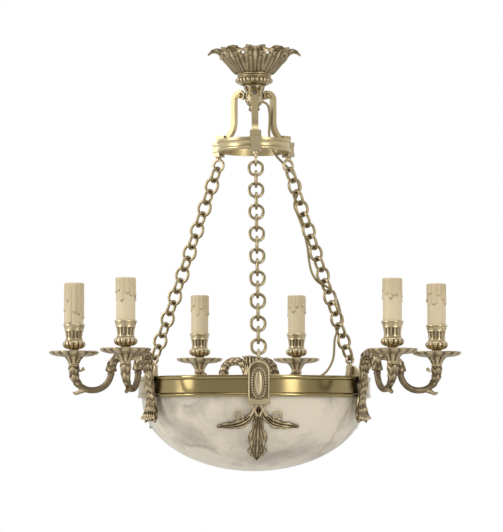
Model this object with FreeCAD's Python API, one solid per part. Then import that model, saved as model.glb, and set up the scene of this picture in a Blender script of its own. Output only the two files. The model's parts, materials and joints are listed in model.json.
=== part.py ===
import FreeCAD, Part
import math
import os

# Six-light gilt-bronze chandelier with an alabaster bowl, hung by three link chains.
# Lengths are in millimetres and angles in degrees.  Every height below is measured up
# from the foot of the bowl ring; the finished object is lowered by LOOP_HEIGHT, so that
# its origin is the centre of the hanging loop's bore.  +Z is up and -Y is the front.
# A station is an angle round the Z axis, from the front towards +X.

# ---- clearances
SEAT_GAP = 0.3        # between two pieces that rest on one another or may move apart
BOLT_GAP = 0.1        # radial, round a screw, stem or threaded tube
EYE_GAP = 0.35        # between an end link and its eye
LINK_GAP = 0.15       # between neighbouring links

# ---- stations
CHAIN_STATIONS = {"front": 0.0, "right": 120.0, "left": -120.0}
BRACKET_STATIONS = {"right": 60.0, "left": -60.0, "rear": 180.0}

# ---- hanging loop, stem and crown
LOOP_BORE_R = 7.0
LOOP_RIM = 6.5
LOOP_THICK = 8.0
LOOP_NECK = 2.5       # from the nut up to the loop's ring
LOOP_BOSS_R = 8.5
STEM_IN_LOOP = 6.0
STEM_R = 5.0
NUT_FLATS = 17.0
NUT_TALL = 6.0
CROWN_FLOOR_THICK = 3.0
CROWN_BASE_R = 24.7
CROWN_WALL = 2.4
CROWN_LEAVES = 8
CROWN_LEAF_HALF_WIDTH = 17.5
CROWN_TIP_R = 70.0
CROWN_RISE = 35.0

# ---- collar, neck and finial below the crown
COLLAR_TALL = 15.4
COLLAR_R = 28.4
COLLAR_FOOT_R = 17.9
NECK_ABOVE_RING = 52.0
NECK_TALL = 31.6
NECK_TOP_R = 16.0
NECK_R = 13.8
NECK_FOOT_R = 8.0
FINIAL_TALL = 13.0
FINIAL_R = 9.0
STEM_END_ABOVE_TIP = 5.0

# ---- scroll arms between the neck and the top ring
SCROLL_WIDTH = 10.0
SCROLL_THICK = 6.0
SCROLL_KNOB_R = 5.6
SCROLL_KNOB_UP = 17.0  # from the neck's foot
SCROLL_CREST_UP = 8.0   # from the knob's axis to the bar's crest
SCROLL_RUN_R = 36.8
SCROLL_CREST_BEND = 11.0
SCROLL_FOOT_BEND = 30.0
SCROLL_FOOT_WIDTH = 16.8
SCROLL_FOOT_TALL = 9.5
SCROLL_FOOT_DEEP = 13.0
SCROLL_SCREW_R = 2.0
SCROLL_SCREW_HEAD_R = 3.4
SCROLL_SCREW_HEAD_TALL = 2.0
SCROLL_SCREW_BITE = 5.5

# ---- top ring, its blocks and eyes
TOP_RING_R = 56.0
TOP_RING_WALL = 4.6
TOP_RING_FOOT = 370.0
TOP_RING_TALL = 18.0
BLOCK_WIDTH = 17.0
BLOCK_WAIST = 14.0
BLOCK_R = 67.0
BLOCK_DROP = 4.0
TOP_EYE_R = 8.3
TOP_EYE_WIRE_R = 2.2
TOP_EYE_STATION_R = 61.0
TOP_EYE_NECK = 2.5
EYE_SHANK_R = 2.6
EYE_SHANK_LONG = 10.0

# ---- chains
CHAIN_LINKS = 17
LINK_WIRE_R = 2.25
LINK_WIDTH = 24.5

# ---- bowl ring and alabaster bowl
RING_R = 175.0
RING_TALL = 31.0
RING_MOULDING = 1.5
RING_WALL = 1.8
RING_FLANGE = 3.0
RING_FLANGE_THICK = 3.0
BOWL_INSET = 7.0      # from the band's moulding in to the bowl's outside
BOWL_DEEP = 109.0
BOWL_WALL = 8.0
BOWL_LIP = 3.3
BOWL_LIP_TALL = 6.0
BOWL_LIFT = 3.5
DISH_SPANS = 6

# ---- plaques, their eyes and leaf sprays
PLAQUE_WIDTH = 31.0
PLAQUE_THICK = 4.6
PLAQUE_CREST = 51.6
PLAQUE_FOOT = -5.0
PLAQUE_SHOULDER = 37.0
LEDGE_WIDTH = 33.0
LEDGE_TALL = 7.0
LEDGE_DEEP = 7.0
CABOCHON_HALF_WIDTH = 5.2
CABOCHON_HALF_TALL = 17.5
CABOCHON_HEIGHT = 19.0
CABOCHON_RISE = 3.2
LOWER_EYE_R = 5.6
LOWER_EYE_WIRE_R = 2.4
LOWER_EYE_CREST = 68.5
LOWER_EYE_SHANK = 9.0
LOWER_EYE_BEHIND = 4.5
SPRAY_GAP = 0.8
SPRAY_THICK = 4.0
SPRAY_STRUT = 9.0

# ---- brackets with their pendant leaves
BRACKET_BOSS_HALF = 8.5
BRACKET_BOSS_DEEP = 9.0
BRACKET_BOSS_FOOT = 20.0
BRACKET_BOSS_TOP = 50.0
BRACKET_LEAF_THICK = 3.6

# ---- candle arms
ARM_ROOT_OUT = 3.0    # from the band's moulding out to the place where both arms start
ARM_OUTREACH = 89.5   # from the band's moulding out to the candles
ARM_SPREAD = 77.5
ARM_ROOT_HEIGHT = 30.0
ARM_HUMP_START = 17.3
ARM_HUMP_LONG = 42.7
ARM_DIP_BACK = 56.14  # from the candle's axis back to where the dip starts
ARM_TUBE_R = 4.7
ARM_HUMP_R = 6.5
ARM_KNUCKLE_R = 8.0
ARM_STEM_R = 8.5
ARM_HUMP_TOP = 61.0
ARM_DIP = 10.5
ARM_HUMP_BEND = 20.0
ARM_KNUCKLE_SHARE = 0.45   # how far down the fall from the hump the knuckle sits
ARM_DIP_BEND = 27.0
ARM_TOP = 46.0
ARM_KNOB_R = 3.2
ARM_KNOB_HEIGHT = 42.0

# ---- candle fittings, all coaxial above the arm tip
CALYX_R = 13.0
CALYX_TALL = 14.0
BOBECHE_R = 36.5
BOBECHE_TALL = 7.5
BOBECHE_SCALLOPS = 16
CUP_NECK_R = 7.0
CUP_NECK_TALL = 3.2
CUP_TALL = 36.8
CUP_BULB_R = 16.3
CUP_WAIST_R = 12.6
CUP_RIM_R = 15.5
SLEEVE_R = 13.7
SLEEVE_WALL = 1.5
SLEEVE_TALL = 70.4
SLEEVE_IN_CUP = 9.5
WAX_THICK = 1.0
WAX_TALL = 24.0
HOLDER_GAP = 0.5
HOLDER_BELOW_TOP = 2.0
SOCKET_R = 7.0
SOCKET_DEEP = 25.0
NIPPLE_R = 5.0
NIPPLE_IN_ARM = 7.0
NIPPLE_IN_HOLDER = 6.0

# ---- spider and lamps inside the bowl
SPIDER_BAR_WIDTH = 14.0
SPIDER_BAR_THICK = 4.0
SPIDER_TAB_THICK = 3.0
HUB_R = 16.0
HUB_DROP = 55.0
BOWL_LAMP_HEIGHT = -30.0
BOWL_LAMP_R = 12.0
BOWL_LAMP_BACK_R = 20.0
BOWL_LAMP_MOUTH_R = 58.0
BOWL_LAMP_SPIGOT = 6.0
FIX_SCREW_R = 2.5
FIX_SCREW_HEAD_R = 4.5
FIX_SCREW_HEAD_TALL = 3.5
FIX_SCREW_BITE = 6.0
FIX_SCREW_HEIGHT = 23.0

# ---- supply cable, held by the top ring and woven through the right-hand chain
CABLE_R = 1.8
CABLE_GLAND_R = 6.5
CABLE_OUTLET_UP = 8.5  # from the neck's foot

# ---- heights that follow from these, from the top ring up
TOP_RING_TOP = TOP_RING_FOOT + TOP_RING_TALL
NECK_FOOT = TOP_RING_TOP + NECK_ABOVE_RING
FINIAL_TIP = NECK_FOOT - FINIAL_TALL
SCROLL_KNOB_HEIGHT = NECK_FOOT + SCROLL_KNOB_UP
SCROLL_CREST = SCROLL_KNOB_HEIGHT + SCROLL_CREST_UP
COLLAR_FOOT = NECK_FOOT + NECK_TALL
CROWN_FLOOR = COLLAR_FOOT + COLLAR_TALL
CROWN_TOP_OF_FLOOR = CROWN_FLOOR + CROWN_FLOOR_THICK
LOOP_BOSS_FOOT = CROWN_TOP_OF_FLOOR + NUT_TALL
LOOP_OUTER_R = LOOP_BORE_R + LOOP_RIM
LOOP_HEIGHT = LOOP_BOSS_FOOT + LOOP_NECK + LOOP_OUTER_R


def vec(x, y, z):
    return FreeCAD.Vector(x, y, z)


UP = vec(0, 0, 1)
OUT = vec(1, 0, 0)
ASIDE = vec(0, 1, 0)


# ---------------------------------------------------------------- small tools

def cylinder(radius, height, foot, axis=UP):
    return Part.makeCylinder(radius, height, foot, axis)


def box(low, high):
    return Part.makeBox(high[0] - low[0], high[1] - low[1], high[2] - low[2], vec(*low))


def fuse(first, *others):
    return first.multiFuse(list(others)).removeSplitter() if others else first


def straight_or_arc(steps, to_vector):
    """One closed wire.  A step is a point, or a pair of an arc's middle and its end."""
    edges = []
    last = to_vector(steps[0])
    for step in steps[1:] + [steps[0]]:
        if isinstance(step[0], tuple):
            middle, end = to_vector(step[0]), to_vector(step[1])
            edges.append(Part.Arc(last, middle, end).toShape())
        else:
            end = to_vector(step)
            if last.distanceToPoint(end) < 1e-6:
                continue
            edges.append(Part.LineSegment(last, end).toShape())
        last = end
    return Part.Wire(edges)


def turned(steps):
    """A solid of revolution from an outline of (radius, height) steps."""
    wire = straight_or_arc(steps, lambda p: vec(p[0], 0, p[1]))
    return Part.Face(wire).revolve(vec(0, 0, 0), UP, 360)


def radial_slab(steps, half_width):
    """An outline of (radius, height) steps given a width on both sides of the radius."""
    wire = straight_or_arc(steps, lambda p: vec(p[0], -half_width, p[1]))
    return Part.Face(wire).extrude(vec(0, 2 * half_width, 0))


def facing_slab(steps, near, far):
    """An outline of (aside, height) steps carried outwards from one radius to another."""
    wire = straight_or_arc(steps, lambda p: vec(near, p[0], p[1]))
    return Part.Face(wire).extrude(vec(far - near, 0, 0))


def mirrored_steps(half):
    """Closes an outline of (aside, height) points with its own mirror image."""
    return half + [(-s, z) for s, z in reversed(half) if s > 1e-6]


def bent_wire(points, radii):
    """Straight runs through the points, joined at each inner point by a tangent arc."""
    edges = []
    last = points[0]
    for before, corner, after, radius in zip(points, points[1:], points[2:], radii):
        back = (before - corner).normalize()
        ahead = (after - corner).normalize()
        turn = math.pi - back.getAngle(ahead)
        setback = radius * math.tan(turn / 2)
        start, end = corner + back * setback, corner + ahead * setback
        middle_way = (back + ahead).normalize()
        middle = corner + middle_way * (radius / math.cos(turn / 2) - radius)
        if last.distanceToPoint(start) > 1e-6:
            edges.append(Part.LineSegment(last, start).toShape())
        edges.append(Part.Arc(start, middle, end).toShape())
        last = end
    edges.append(Part.LineSegment(last, points[-1]).toShape())
    return Part.Wire(edges)


def tube_along(path, radius):
    """A round bar along a wire, made as a pipe shell."""
    start = path.Edges[0].Vertexes[0].Point
    way = path.Edges[0].tangentAt(path.Edges[0].FirstParameter)
    ring = Part.Wire([Part.makeCircle(radius, start, way)])
    shell = Part.BRepOffsetAPI.MakePipeShell(path)
    shell.add(ring)
    shell.build()
    shell.makeSolid()
    return shell.shape()


def flat_bar_along(path, thick, width):
    """A flat bar along a wire in the radial plane, its width across that plane."""
    start = path.Edges[0].Vertexes[0].Point
    way = path.Edges[0].tangentAt(path.Edges[0].FirstParameter)
    across = way.cross(ASIDE).normalize() * (thick / 2)
    aside = ASIDE * (width / 2)
    corners = [start + across + aside, start - across + aside,
               start - across - aside, start + across - aside]
    shell = Part.BRepOffsetAPI.MakePipeShell(path)
    shell.setBiNormalMode(ASIDE)
    shell.add(Part.makePolygon(corners + corners[:1]))
    shell.build()
    shell.makeSolid()
    return shell.shape()


def at_station(shape, station):
    """Turns a shape made on the +X side to its station round the Z axis."""
    placed = shape.copy()
    placed.rotate(vec(0, 0, 0), UP, station - 90.0)
    return placed


def hex_nut(flats, height, bore_r, foot):
    corner = flats / math.sqrt(3)
    points = [foot + vec(corner * math.cos(math.radians(a)),
                         corner * math.sin(math.radians(a)), 0) for a in range(0, 360, 60)]
    prism = Part.Face(Part.makePolygon(points + points[:1])).extrude(UP * height)
    return prism.cut(cylinder(bore_r, height, foot))


def screw(shank_r, head_r, head_tall, seat, way, length):
    """A round-headed screw: its head stands on the seat and its shank goes the way given."""
    return fuse(cylinder(shank_r, length, seat, way),
                cylinder(head_r, head_tall, seat, way * -1))


# ---------------------------------------------------------------- hanging loop to neck

STEM_END = FINIAL_TIP + STEM_END_ABOVE_TIP


def hanging_loop():
    centre = vec(0, -LOOP_THICK / 2, LOOP_HEIGHT)
    ring = cylinder(LOOP_OUTER_R, LOOP_THICK, centre, ASIDE)
    boss = cylinder(LOOP_BOSS_R, LOOP_NECK + LOOP_RIM - 1, vec(0, 0, LOOP_BOSS_FOOT))
    body = fuse(ring, boss).cut(cylinder(LOOP_BORE_R, LOOP_THICK, centre, ASIDE))
    body = body.cut(cylinder(LOOP_BORE_R, 2 * LOOP_BOSS_R,
                             vec(0, -LOOP_BOSS_R, LOOP_HEIGHT), ASIDE))
    socket = cylinder(STEM_R + BOLT_GAP, STEM_IN_LOOP, vec(0, 0, LOOP_BOSS_FOOT))
    return body.cut(socket)


def central_stem():
    top = LOOP_BOSS_FOOT + STEM_IN_LOOP - SEAT_GAP
    return cylinder(STEM_R, top - STEM_END, vec(0, 0, STEM_END))


def stem_nut():
    return hex_nut(NUT_FLATS, NUT_TALL, STEM_R + BOLT_GAP, vec(0, 0, CROWN_TOP_OF_FLOOR))


def crown():
    """A thin flared cup, cut in plan into leaves with gaps between them."""
    base, floor = CROWN_BASE_R, CROWN_FLOOR
    tip, top = CROWN_TIP_R, CROWN_FLOOR + CROWN_RISE
    wall = CROWN_WALL
    under = [(base + 4, floor), (base + 12.5, floor + 9), (base + 21, floor + 17),
             (base + 26.5, floor + 25), (tip - 13, top - wall - 1), (tip, top - wall)]
    over = [(tip, top), (tip - 14.5, top - 1), (base + 24.3, floor + 26.5),
            (base + 19, floor + 19), (base + 11, floor + 11.5), (base + 1, floor + 4.5)]
    hub = STEM_R + BOLT_GAP
    cup = turned([(hub, floor)] + under + over + [(base - 3, CROWN_TOP_OF_FLOOR),
                                                 (hub, CROWN_TOP_OF_FLOOR)])
    half = CROWN_LEAF_HALF_WIDTH
    outline = [(0, -half * 0.93), (base + 6, -half * 0.93), (base + 20, -half),
               (tip - 16, -half * 0.97), (tip - 8, -half * 0.62), (tip + 1, -2.5),
               (tip + 1, 2.5), (tip - 8, half * 0.62), (tip - 16, half * 0.97),
               (base + 20, half), (base + 6, half * 0.93), (0, half * 0.93)]
    points = [vec(r, s, floor - 1) for r, s in outline]
    leaf = Part.Face(Part.makePolygon(points + points[:1])).extrude(UP * (CROWN_RISE + 4))
    leaves = [at_station(leaf, k * 360.0 / CROWN_LEAVES) for k in range(CROWN_LEAVES)]
    star = fuse(cylinder(base + 5, CROWN_RISE + 4, vec(0, 0, floor - 1)), *leaves)
    return cup.common(star)


def crown_collar():
    hub, foot, top = STEM_R + BOLT_GAP, COLLAR_FOOT, CROWN_FLOOR
    belly = foot + 0.42 * COLLAR_TALL
    return turned([(hub, foot), (COLLAR_FOOT_R, foot), ((COLLAR_R - 3.5, foot + 2.6),
                                                        (COLLAR_R, belly)),
                   ((COLLAR_R - 1.0, belly + 3.3), (COLLAR_R - 4.2, top - 3.8)),
                   (CROWN_BASE_R, top - 2.6), ((CROWN_BASE_R + 1.2, top - 1.3),
                                               (CROWN_BASE_R, top)), (hub, top)])


def scroll_boss():
    """The neck that the scroll arms are screwed to, with the cable's outlet in its side."""
    hub, foot = STEM_R + BOLT_GAP, NECK_FOOT
    body = turned([(hub, foot), (NECK_FOOT_R, foot), (NECK_R - 1.2, foot + 6),
                   ((NECK_R, foot + 8.5), (NECK_R - 1.2, foot + 11)), (NECK_R, foot + 13),
                   (NECK_R, foot + 22), (NECK_TOP_R, COLLAR_FOOT - 3),
                   (NECK_TOP_R, COLLAR_FOOT), (hub, COLLAR_FOOT)])
    for station in CHAIN_STATIONS.values():
        hole = cylinder(SCROLL_SCREW_R + BOLT_GAP, NECK_TOP_R,
                        vec(NECK_R - SCROLL_SCREW_BITE, 0, SCROLL_KNOB_HEIGHT), OUT)
        body = body.cut(at_station(hole, station))
    outlet = cylinder(CABLE_R + SEAT_GAP, NECK_TOP_R,
                      vec(CABLE_GLAND_R, 0, NECK_FOOT + CABLE_OUTLET_UP), OUT)
    return body.cut(at_station(outlet, CHAIN_STATIONS["right"]))


def foliate_finial():
    tip, top = FINIAL_TIP, NECK_FOOT
    body = turned([(0, tip), ((FINIAL_R * 0.55, tip + 1.5), (FINIAL_R * 0.6, tip + 4)),
                   ((FINIAL_R, tip + 7), (FINIAL_R * 0.75, tip + 10)),
                   (NECK_FOOT_R, top), (0, top)])
    return body.cut(cylinder(STEM_R + BOLT_GAP, top - STEM_END + SEAT_GAP,
                             vec(0, 0, STEM_END - SEAT_GAP)))


# ---------------------------------------------------------------- scroll arms, top ring

SCROLL_MID_R = SCROLL_RUN_R - SCROLL_THICK / 2
SCROLL_KNOB_STATION_R = NECK_R + SEAT_GAP + SCROLL_KNOB_R
SCROLL_FOOT_R = TOP_RING_R - TOP_RING_WALL
TOP_EYE_CENTRE = TOP_RING_FOOT - BLOCK_DROP - TOP_EYE_NECK - TOP_EYE_R - TOP_EYE_WIRE_R


def scroll_arm():
    """A flat bar: knob at the neck, crest, plumb run, and a flare to its foot block."""
    crest = SCROLL_CREST - SCROLL_THICK / 2
    foot_top = TOP_RING_TOP + SCROLL_FOOT_TALL
    knee = foot_top + 6.0
    path = bent_wire([vec(SCROLL_KNOB_STATION_R, 0, crest), vec(SCROLL_MID_R, 0, crest),
                      vec(SCROLL_MID_R, 0, knee), vec(SCROLL_FOOT_R - 2, 0, TOP_RING_TOP + 3)],
                     [SCROLL_CREST_BEND, SCROLL_FOOT_BEND])
    bar = flat_bar_along(path, SCROLL_THICK, SCROLL_WIDTH)
    half = SCROLL_FOOT_WIDTH / 2
    knob = cylinder(SCROLL_KNOB_R, SCROLL_WIDTH + 2,
                    vec(SCROLL_KNOB_STATION_R, -SCROLL_WIDTH / 2 - 1, SCROLL_KNOB_HEIGHT),
                    ASIDE)
    foot = box((SCROLL_FOOT_R - 4, -half, TOP_RING_TOP),
               (SCROLL_FOOT_R - 4 + SCROLL_FOOT_DEEP, half, foot_top))
    body = fuse(bar, knob, foot)
    body = body.cut(cylinder(SCROLL_SCREW_R + BOLT_GAP, 2 * SCROLL_RUN_R,
                             vec(0, 0, SCROLL_KNOB_HEIGHT), OUT))
    head_pocket = cylinder(SCROLL_SCREW_HEAD_R + SEAT_GAP, SCROLL_RUN_R,
                           vec(SCROLL_KNOB_STATION_R + SCROLL_KNOB_R - 1, 0,
                               SCROLL_KNOB_HEIGHT), OUT)
    body = body.cut(head_pocket)
    foot_hole = cylinder(SCROLL_SCREW_R + BOLT_GAP, SCROLL_FOOT_TALL,
                         vec(SCROLL_FOOT_R + TOP_RING_WALL / 2, 0, TOP_RING_TOP))
    return body.cut(foot_hole)


def scroll_screws():
    """One screw through each knob into the neck, and one up through the ring."""
    neck_screw = screw(SCROLL_SCREW_R, SCROLL_SCREW_HEAD_R, SCROLL_SCREW_HEAD_TALL,
                       vec(SCROLL_KNOB_STATION_R + SCROLL_KNOB_R - 1, 0,
                           SCROLL_KNOB_HEIGHT), OUT * -1,
                       2 * SCROLL_KNOB_R - 1 + SEAT_GAP + SCROLL_SCREW_BITE - 0.5)
    foot_screw = screw(SCROLL_SCREW_R, SCROLL_SCREW_HEAD_R * 0.62, 1.2,
                       vec(SCROLL_FOOT_R + TOP_RING_WALL / 2, 0, TOP_RING_FOOT), UP,
                       TOP_RING_TALL + SCROLL_FOOT_TALL * 0.6)
    return [at_station(piece, station) for station in CHAIN_STATIONS.values()
            for piece in (neck_screw, foot_screw)]


def top_ring():
    foot, top = TOP_RING_FOOT, TOP_RING_TOP
    outer, inner = TOP_RING_R, TOP_RING_R - TOP_RING_WALL
    body = turned([(inner, foot), (outer - 2, foot), ((outer, foot + 2.4), (outer - 2, foot + 4.8)),
                   (outer - 3, foot + 5.4), ((outer - 3.2, foot + 9.5), (outer - 1.6, top - 4.6)),
                   (outer, top - 4.2), (outer, top - 2.6), (outer - 1, top - 2.2),
                   (outer - 1, top), (inner, top)])
    for station in CHAIN_STATIONS.values():
        hole = cylinder(SCROLL_SCREW_R + BOLT_GAP, TOP_RING_TALL,
                        vec(SCROLL_FOOT_R + TOP_RING_WALL / 2, 0, foot))
        body = body.cut(at_station(hole, station))
    return body


def ring_block():
    """A waisted block outside the top ring, bored from below for the eye's shank."""
    foot, top = TOP_RING_FOOT - BLOCK_DROP, TOP_RING_TOP
    cap, waist = BLOCK_WIDTH / 2, BLOCK_WAIST / 2
    outline = [(-cap, foot), (cap, foot), (cap, foot + 6), (waist, foot + 7.5),
               (waist, top - 6.5), (cap, top - 5), (cap, top), (-cap, top), (-cap, top - 5),
               (-waist, top - 6.5), (-waist, foot + 7.5), (-cap, foot + 6)]
    body = facing_slab(outline, TOP_RING_R - TOP_RING_WALL, BLOCK_R)
    body = body.cut(cylinder(TOP_RING_R + 0.05, TOP_RING_TALL + 2 * BLOCK_DROP,
                             vec(0, 0, foot - 1)))
    return body.cut(cylinder(EYE_SHANK_R + BOLT_GAP, EYE_SHANK_LONG + SEAT_GAP,
                             vec(TOP_EYE_STATION_R, 0, foot)))


def top_eye():
    """An eye in the radial plane, on a collar and a shank that enters the block."""
    ring = Part.makeTorus(TOP_EYE_R, TOP_EYE_WIRE_R,
                          vec(TOP_EYE_STATION_R, 0, TOP_EYE_CENTRE), ASIDE)
    seat = TOP_RING_FOOT - BLOCK_DROP
    crest = TOP_EYE_CENTRE + TOP_EYE_R
    collar = cylinder(EYE_SHANK_R + 1.6, seat - crest, vec(TOP_EYE_STATION_R, 0, crest))
    shank = cylinder(EYE_SHANK_R, EYE_SHANK_LONG + seat - crest,
                     vec(TOP_EYE_STATION_R, 0, crest))
    return fuse(ring, collar, shank)


# ---------------------------------------------------------------- bowl ring and bowl

RING_INNER_R = RING_R - RING_MOULDING - RING_WALL
BOWL_R = RING_R - BOWL_INSET
BOWL_LIP_R = RING_INNER_R - SEAT_GAP - BOLT_GAP
SPIDER_FOOT = BOWL_LIP + BOWL_LIP_TALL + BOWL_LIFT + BOLT_GAP


def bowl_ring():
    """A rolled band: bottom bead, plain frieze, top moulding, and the bowl's flange."""
    frieze = RING_R - RING_MOULDING
    top = RING_TALL
    body = turned([(RING_INNER_R - RING_FLANGE, 0), (frieze + 0.2, 0),
                   ((RING_R, 2.5), (frieze + 0.2, 5)), (frieze - 0.5, 5.4), (frieze, 6),
                   (frieze, top - 6.5), (frieze - 0.5, top - 5.9), (frieze + 0.4, top - 5.5),
                   ((RING_R, top - 2.8), (frieze + 0.4, top)), (RING_INNER_R, top),
                   (RING_INNER_R, RING_FLANGE_THICK),
                   (RING_INNER_R - RING_FLANGE, RING_FLANGE_THICK)])
    for station in list(CHAIN_STATIONS.values()) + list(BRACKET_STATIONS.values()):
        hole = cylinder(FIX_SCREW_R + BOLT_GAP, 3 * RING_WALL + 4,
                        vec(RING_INNER_R - 2, 0, FIX_SCREW_HEIGHT), OUT)
        body = body.cut(at_station(hole, station))
    return body


def dish(half_width, depth):
    """A half-ellipsoid below height 0: arcs through its own points, round its pole."""
    def point(k):
        angle = k * math.pi / 4 / DISH_SPANS
        return (half_width * math.cos(angle), -depth * math.sin(angle))

    steps = [(point(k + 1), point(k + 2)) for k in range(0, 2 * DISH_SPANS - 2, 2)]
    cap_r, cap_z = steps[-1][1]
    cap_rise = depth + cap_z
    cap_radius = (cap_r ** 2 + cap_rise ** 2) / (2 * cap_rise)
    half_angle = math.asin(cap_r / cap_radius) / 2
    middle = (cap_radius * math.sin(half_angle),
              cap_radius * (1 - math.cos(half_angle)) - depth)
    return turned([(0, 0), (half_width, 0)] + steps + [(middle, (0, -depth))])


def alabaster_bowl():
    """A half-ellipsoid dish with an outward lip that lies on the ring's flange."""
    crest, edge = BOWL_LIP + BOWL_LIP_TALL, 1.5
    inside = BOWL_R - BOWL_WALL
    rim = turned([(inside, 0), (BOWL_R, 0), (BOWL_R, BOWL_LIP), (BOWL_LIP_R, BOWL_LIP),
                  (BOWL_LIP_R, crest - edge), (BOWL_LIP_R - edge, crest),
                  (inside + edge, crest), (inside, crest - edge)])
    return fuse(dish(BOWL_R, BOWL_DEEP).cut(dish(inside, BOWL_DEEP - BOWL_WALL)), rim)


# ---------------------------------------------------------------- plaques and sprays

PLAQUE_BACK_R = RING_R + SEAT_GAP
PLAQUE_FACE_R = PLAQUE_BACK_R + PLAQUE_THICK
LOWER_EYE_STATION_R = PLAQUE_BACK_R + PLAQUE_THICK / 2 - LOWER_EYE_BEHIND
LOWER_EYE_CENTRE = LOWER_EYE_CREST - LOWER_EYE_WIRE_R - LOWER_EYE_R
LOWER_EYE_SEAT = PLAQUE_CREST


def plaque():
    """A domed plate with a raised oval, on a ledge; bored behind for its screw."""
    half, crest = PLAQUE_WIDTH / 2, PLAQUE_CREST
    outline = [(-half, PLAQUE_FOOT), (half, PLAQUE_FOOT), (half, PLAQUE_SHOULDER),
               ((0, crest), (-half, PLAQUE_SHOULDER))]
    body = facing_slab(outline, PLAQUE_BACK_R, PLAQUE_FACE_R)
    ledge = box((PLAQUE_BACK_R, -LEDGE_WIDTH / 2, PLAQUE_FOOT - LEDGE_TALL),
                (PLAQUE_BACK_R + LEDGE_DEEP, LEDGE_WIDTH / 2, PLAQUE_FOOT))
    oval = Part.Ellipse(vec(0, 0, CABOCHON_HALF_TALL), vec(0, CABOCHON_HALF_WIDTH, 0),
                        vec(0, 0, 0)).toShape()
    oval.translate(vec(PLAQUE_FACE_R - 0.5, 0, CABOCHON_HEIGHT))
    cabochon = Part.Face(Part.Wire([oval])).extrude(vec(CABOCHON_RISE + 0.5, 0, 0))
    tail = box((LOWER_EYE_STATION_R - 3.6, -5, PLAQUE_CREST - 14),
               (PLAQUE_BACK_R + 0.5, 5, LOWER_EYE_SEAT))
    tail = tail.cut(box((0, -6, 0), (RING_R + SEAT_GAP, 6, RING_TALL + SEAT_GAP)))
    body = fuse(body, ledge, cabochon, tail)
    body = body.cut(cylinder(EYE_SHANK_R + BOLT_GAP, LOWER_EYE_SHANK + PLAQUE_THICK,
                             vec(LOWER_EYE_STATION_R, 0, LOWER_EYE_SEAT - LOWER_EYE_SHANK)))
    return body.cut(cylinder(FIX_SCREW_R + BOLT_GAP, PLAQUE_THICK - 1.2,
                             vec(PLAQUE_BACK_R, 0, FIX_SCREW_HEIGHT), OUT))


def lower_eye():
    """The eye that the chain's last link passes through, on a shank down into the plaque."""
    ring = Part.makeTorus(LOWER_EYE_R, LOWER_EYE_WIRE_R,
                          vec(LOWER_EYE_STATION_R, 0, LOWER_EYE_CENTRE), ASIDE)
    foot = LOWER_EYE_CENTRE - LOWER_EYE_R
    collar = cylinder(EYE_SHANK_R + 0.9, foot - LOWER_EYE_SEAT,
                      vec(LOWER_EYE_STATION_R, 0, LOWER_EYE_SEAT))
    shank = cylinder(EYE_SHANK_R, foot - LOWER_EYE_SEAT + LOWER_EYE_SHANK - SEAT_GAP,
                     vec(LOWER_EYE_STATION_R, 0, LOWER_EYE_SEAT - LOWER_EYE_SHANK + SEAT_GAP))
    return fuse(ring, collar, shank)


def leaf_spray():
    """A centre leaf and two side leaves that follow the bowl at a small stand-off."""
    def grown(clear):
        return dish(BOWL_R + clear, BOWL_DEEP + clear)

    shell = grown(SPRAY_GAP + SPRAY_THICK).cut(grown(SPRAY_GAP))
    top = PLAQUE_FOOT - LEDGE_TALL
    centre = mirrored_steps([(SPRAY_STRUT, top), (7.5, top - 17), (7, top - 29),
                             (10, top - 36), (15.5, top - 50), (13, top - 56),
                             (14, top - 66), (7, top - 75), (0, top - 79)])
    side = [(2, top - 13), (9, top - 8), (20, top - 19), (26, top - 13), (39, top - 11),
            (39, top - 20), (46, top - 23), (59, top - 26), (59, top - 30), (46, top - 33),
            (36, top - 33), (20, top - 32), (8, top - 25)]
    other_side = [(-s, z) for s, z in side]
    reach = BOWL_R + SPRAY_GAP + SPRAY_THICK + 1
    outline = fuse(*[facing_slab(steps, 0, reach) for steps in (centre, side, other_side)])
    leaves = shell.common(outline)
    strut_drop = 14.0
    strut = box((BOWL_R - 9, -SPRAY_STRUT, top - strut_drop),
                (PLAQUE_BACK_R + LEDGE_DEEP - 2, SPRAY_STRUT, top))
    strut = strut.cut(grown(SPRAY_GAP))
    slope = radial_slab([(BOWL_R + SPRAY_THICK + 2, top - strut_drop - 0.1),
                         (PLAQUE_BACK_R + LEDGE_DEEP, top - strut_drop - 0.1),
                         (PLAQUE_BACK_R + LEDGE_DEEP, top - 5)], SPRAY_STRUT + 1)
    return fuse(leaves, strut.cut(slope))


# ---------------------------------------------------------------- brackets and arms

BRACKET_BACK_R = RING_R + SEAT_GAP
BOSS_R = BRACKET_BACK_R + BRACKET_BOSS_DEEP


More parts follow.
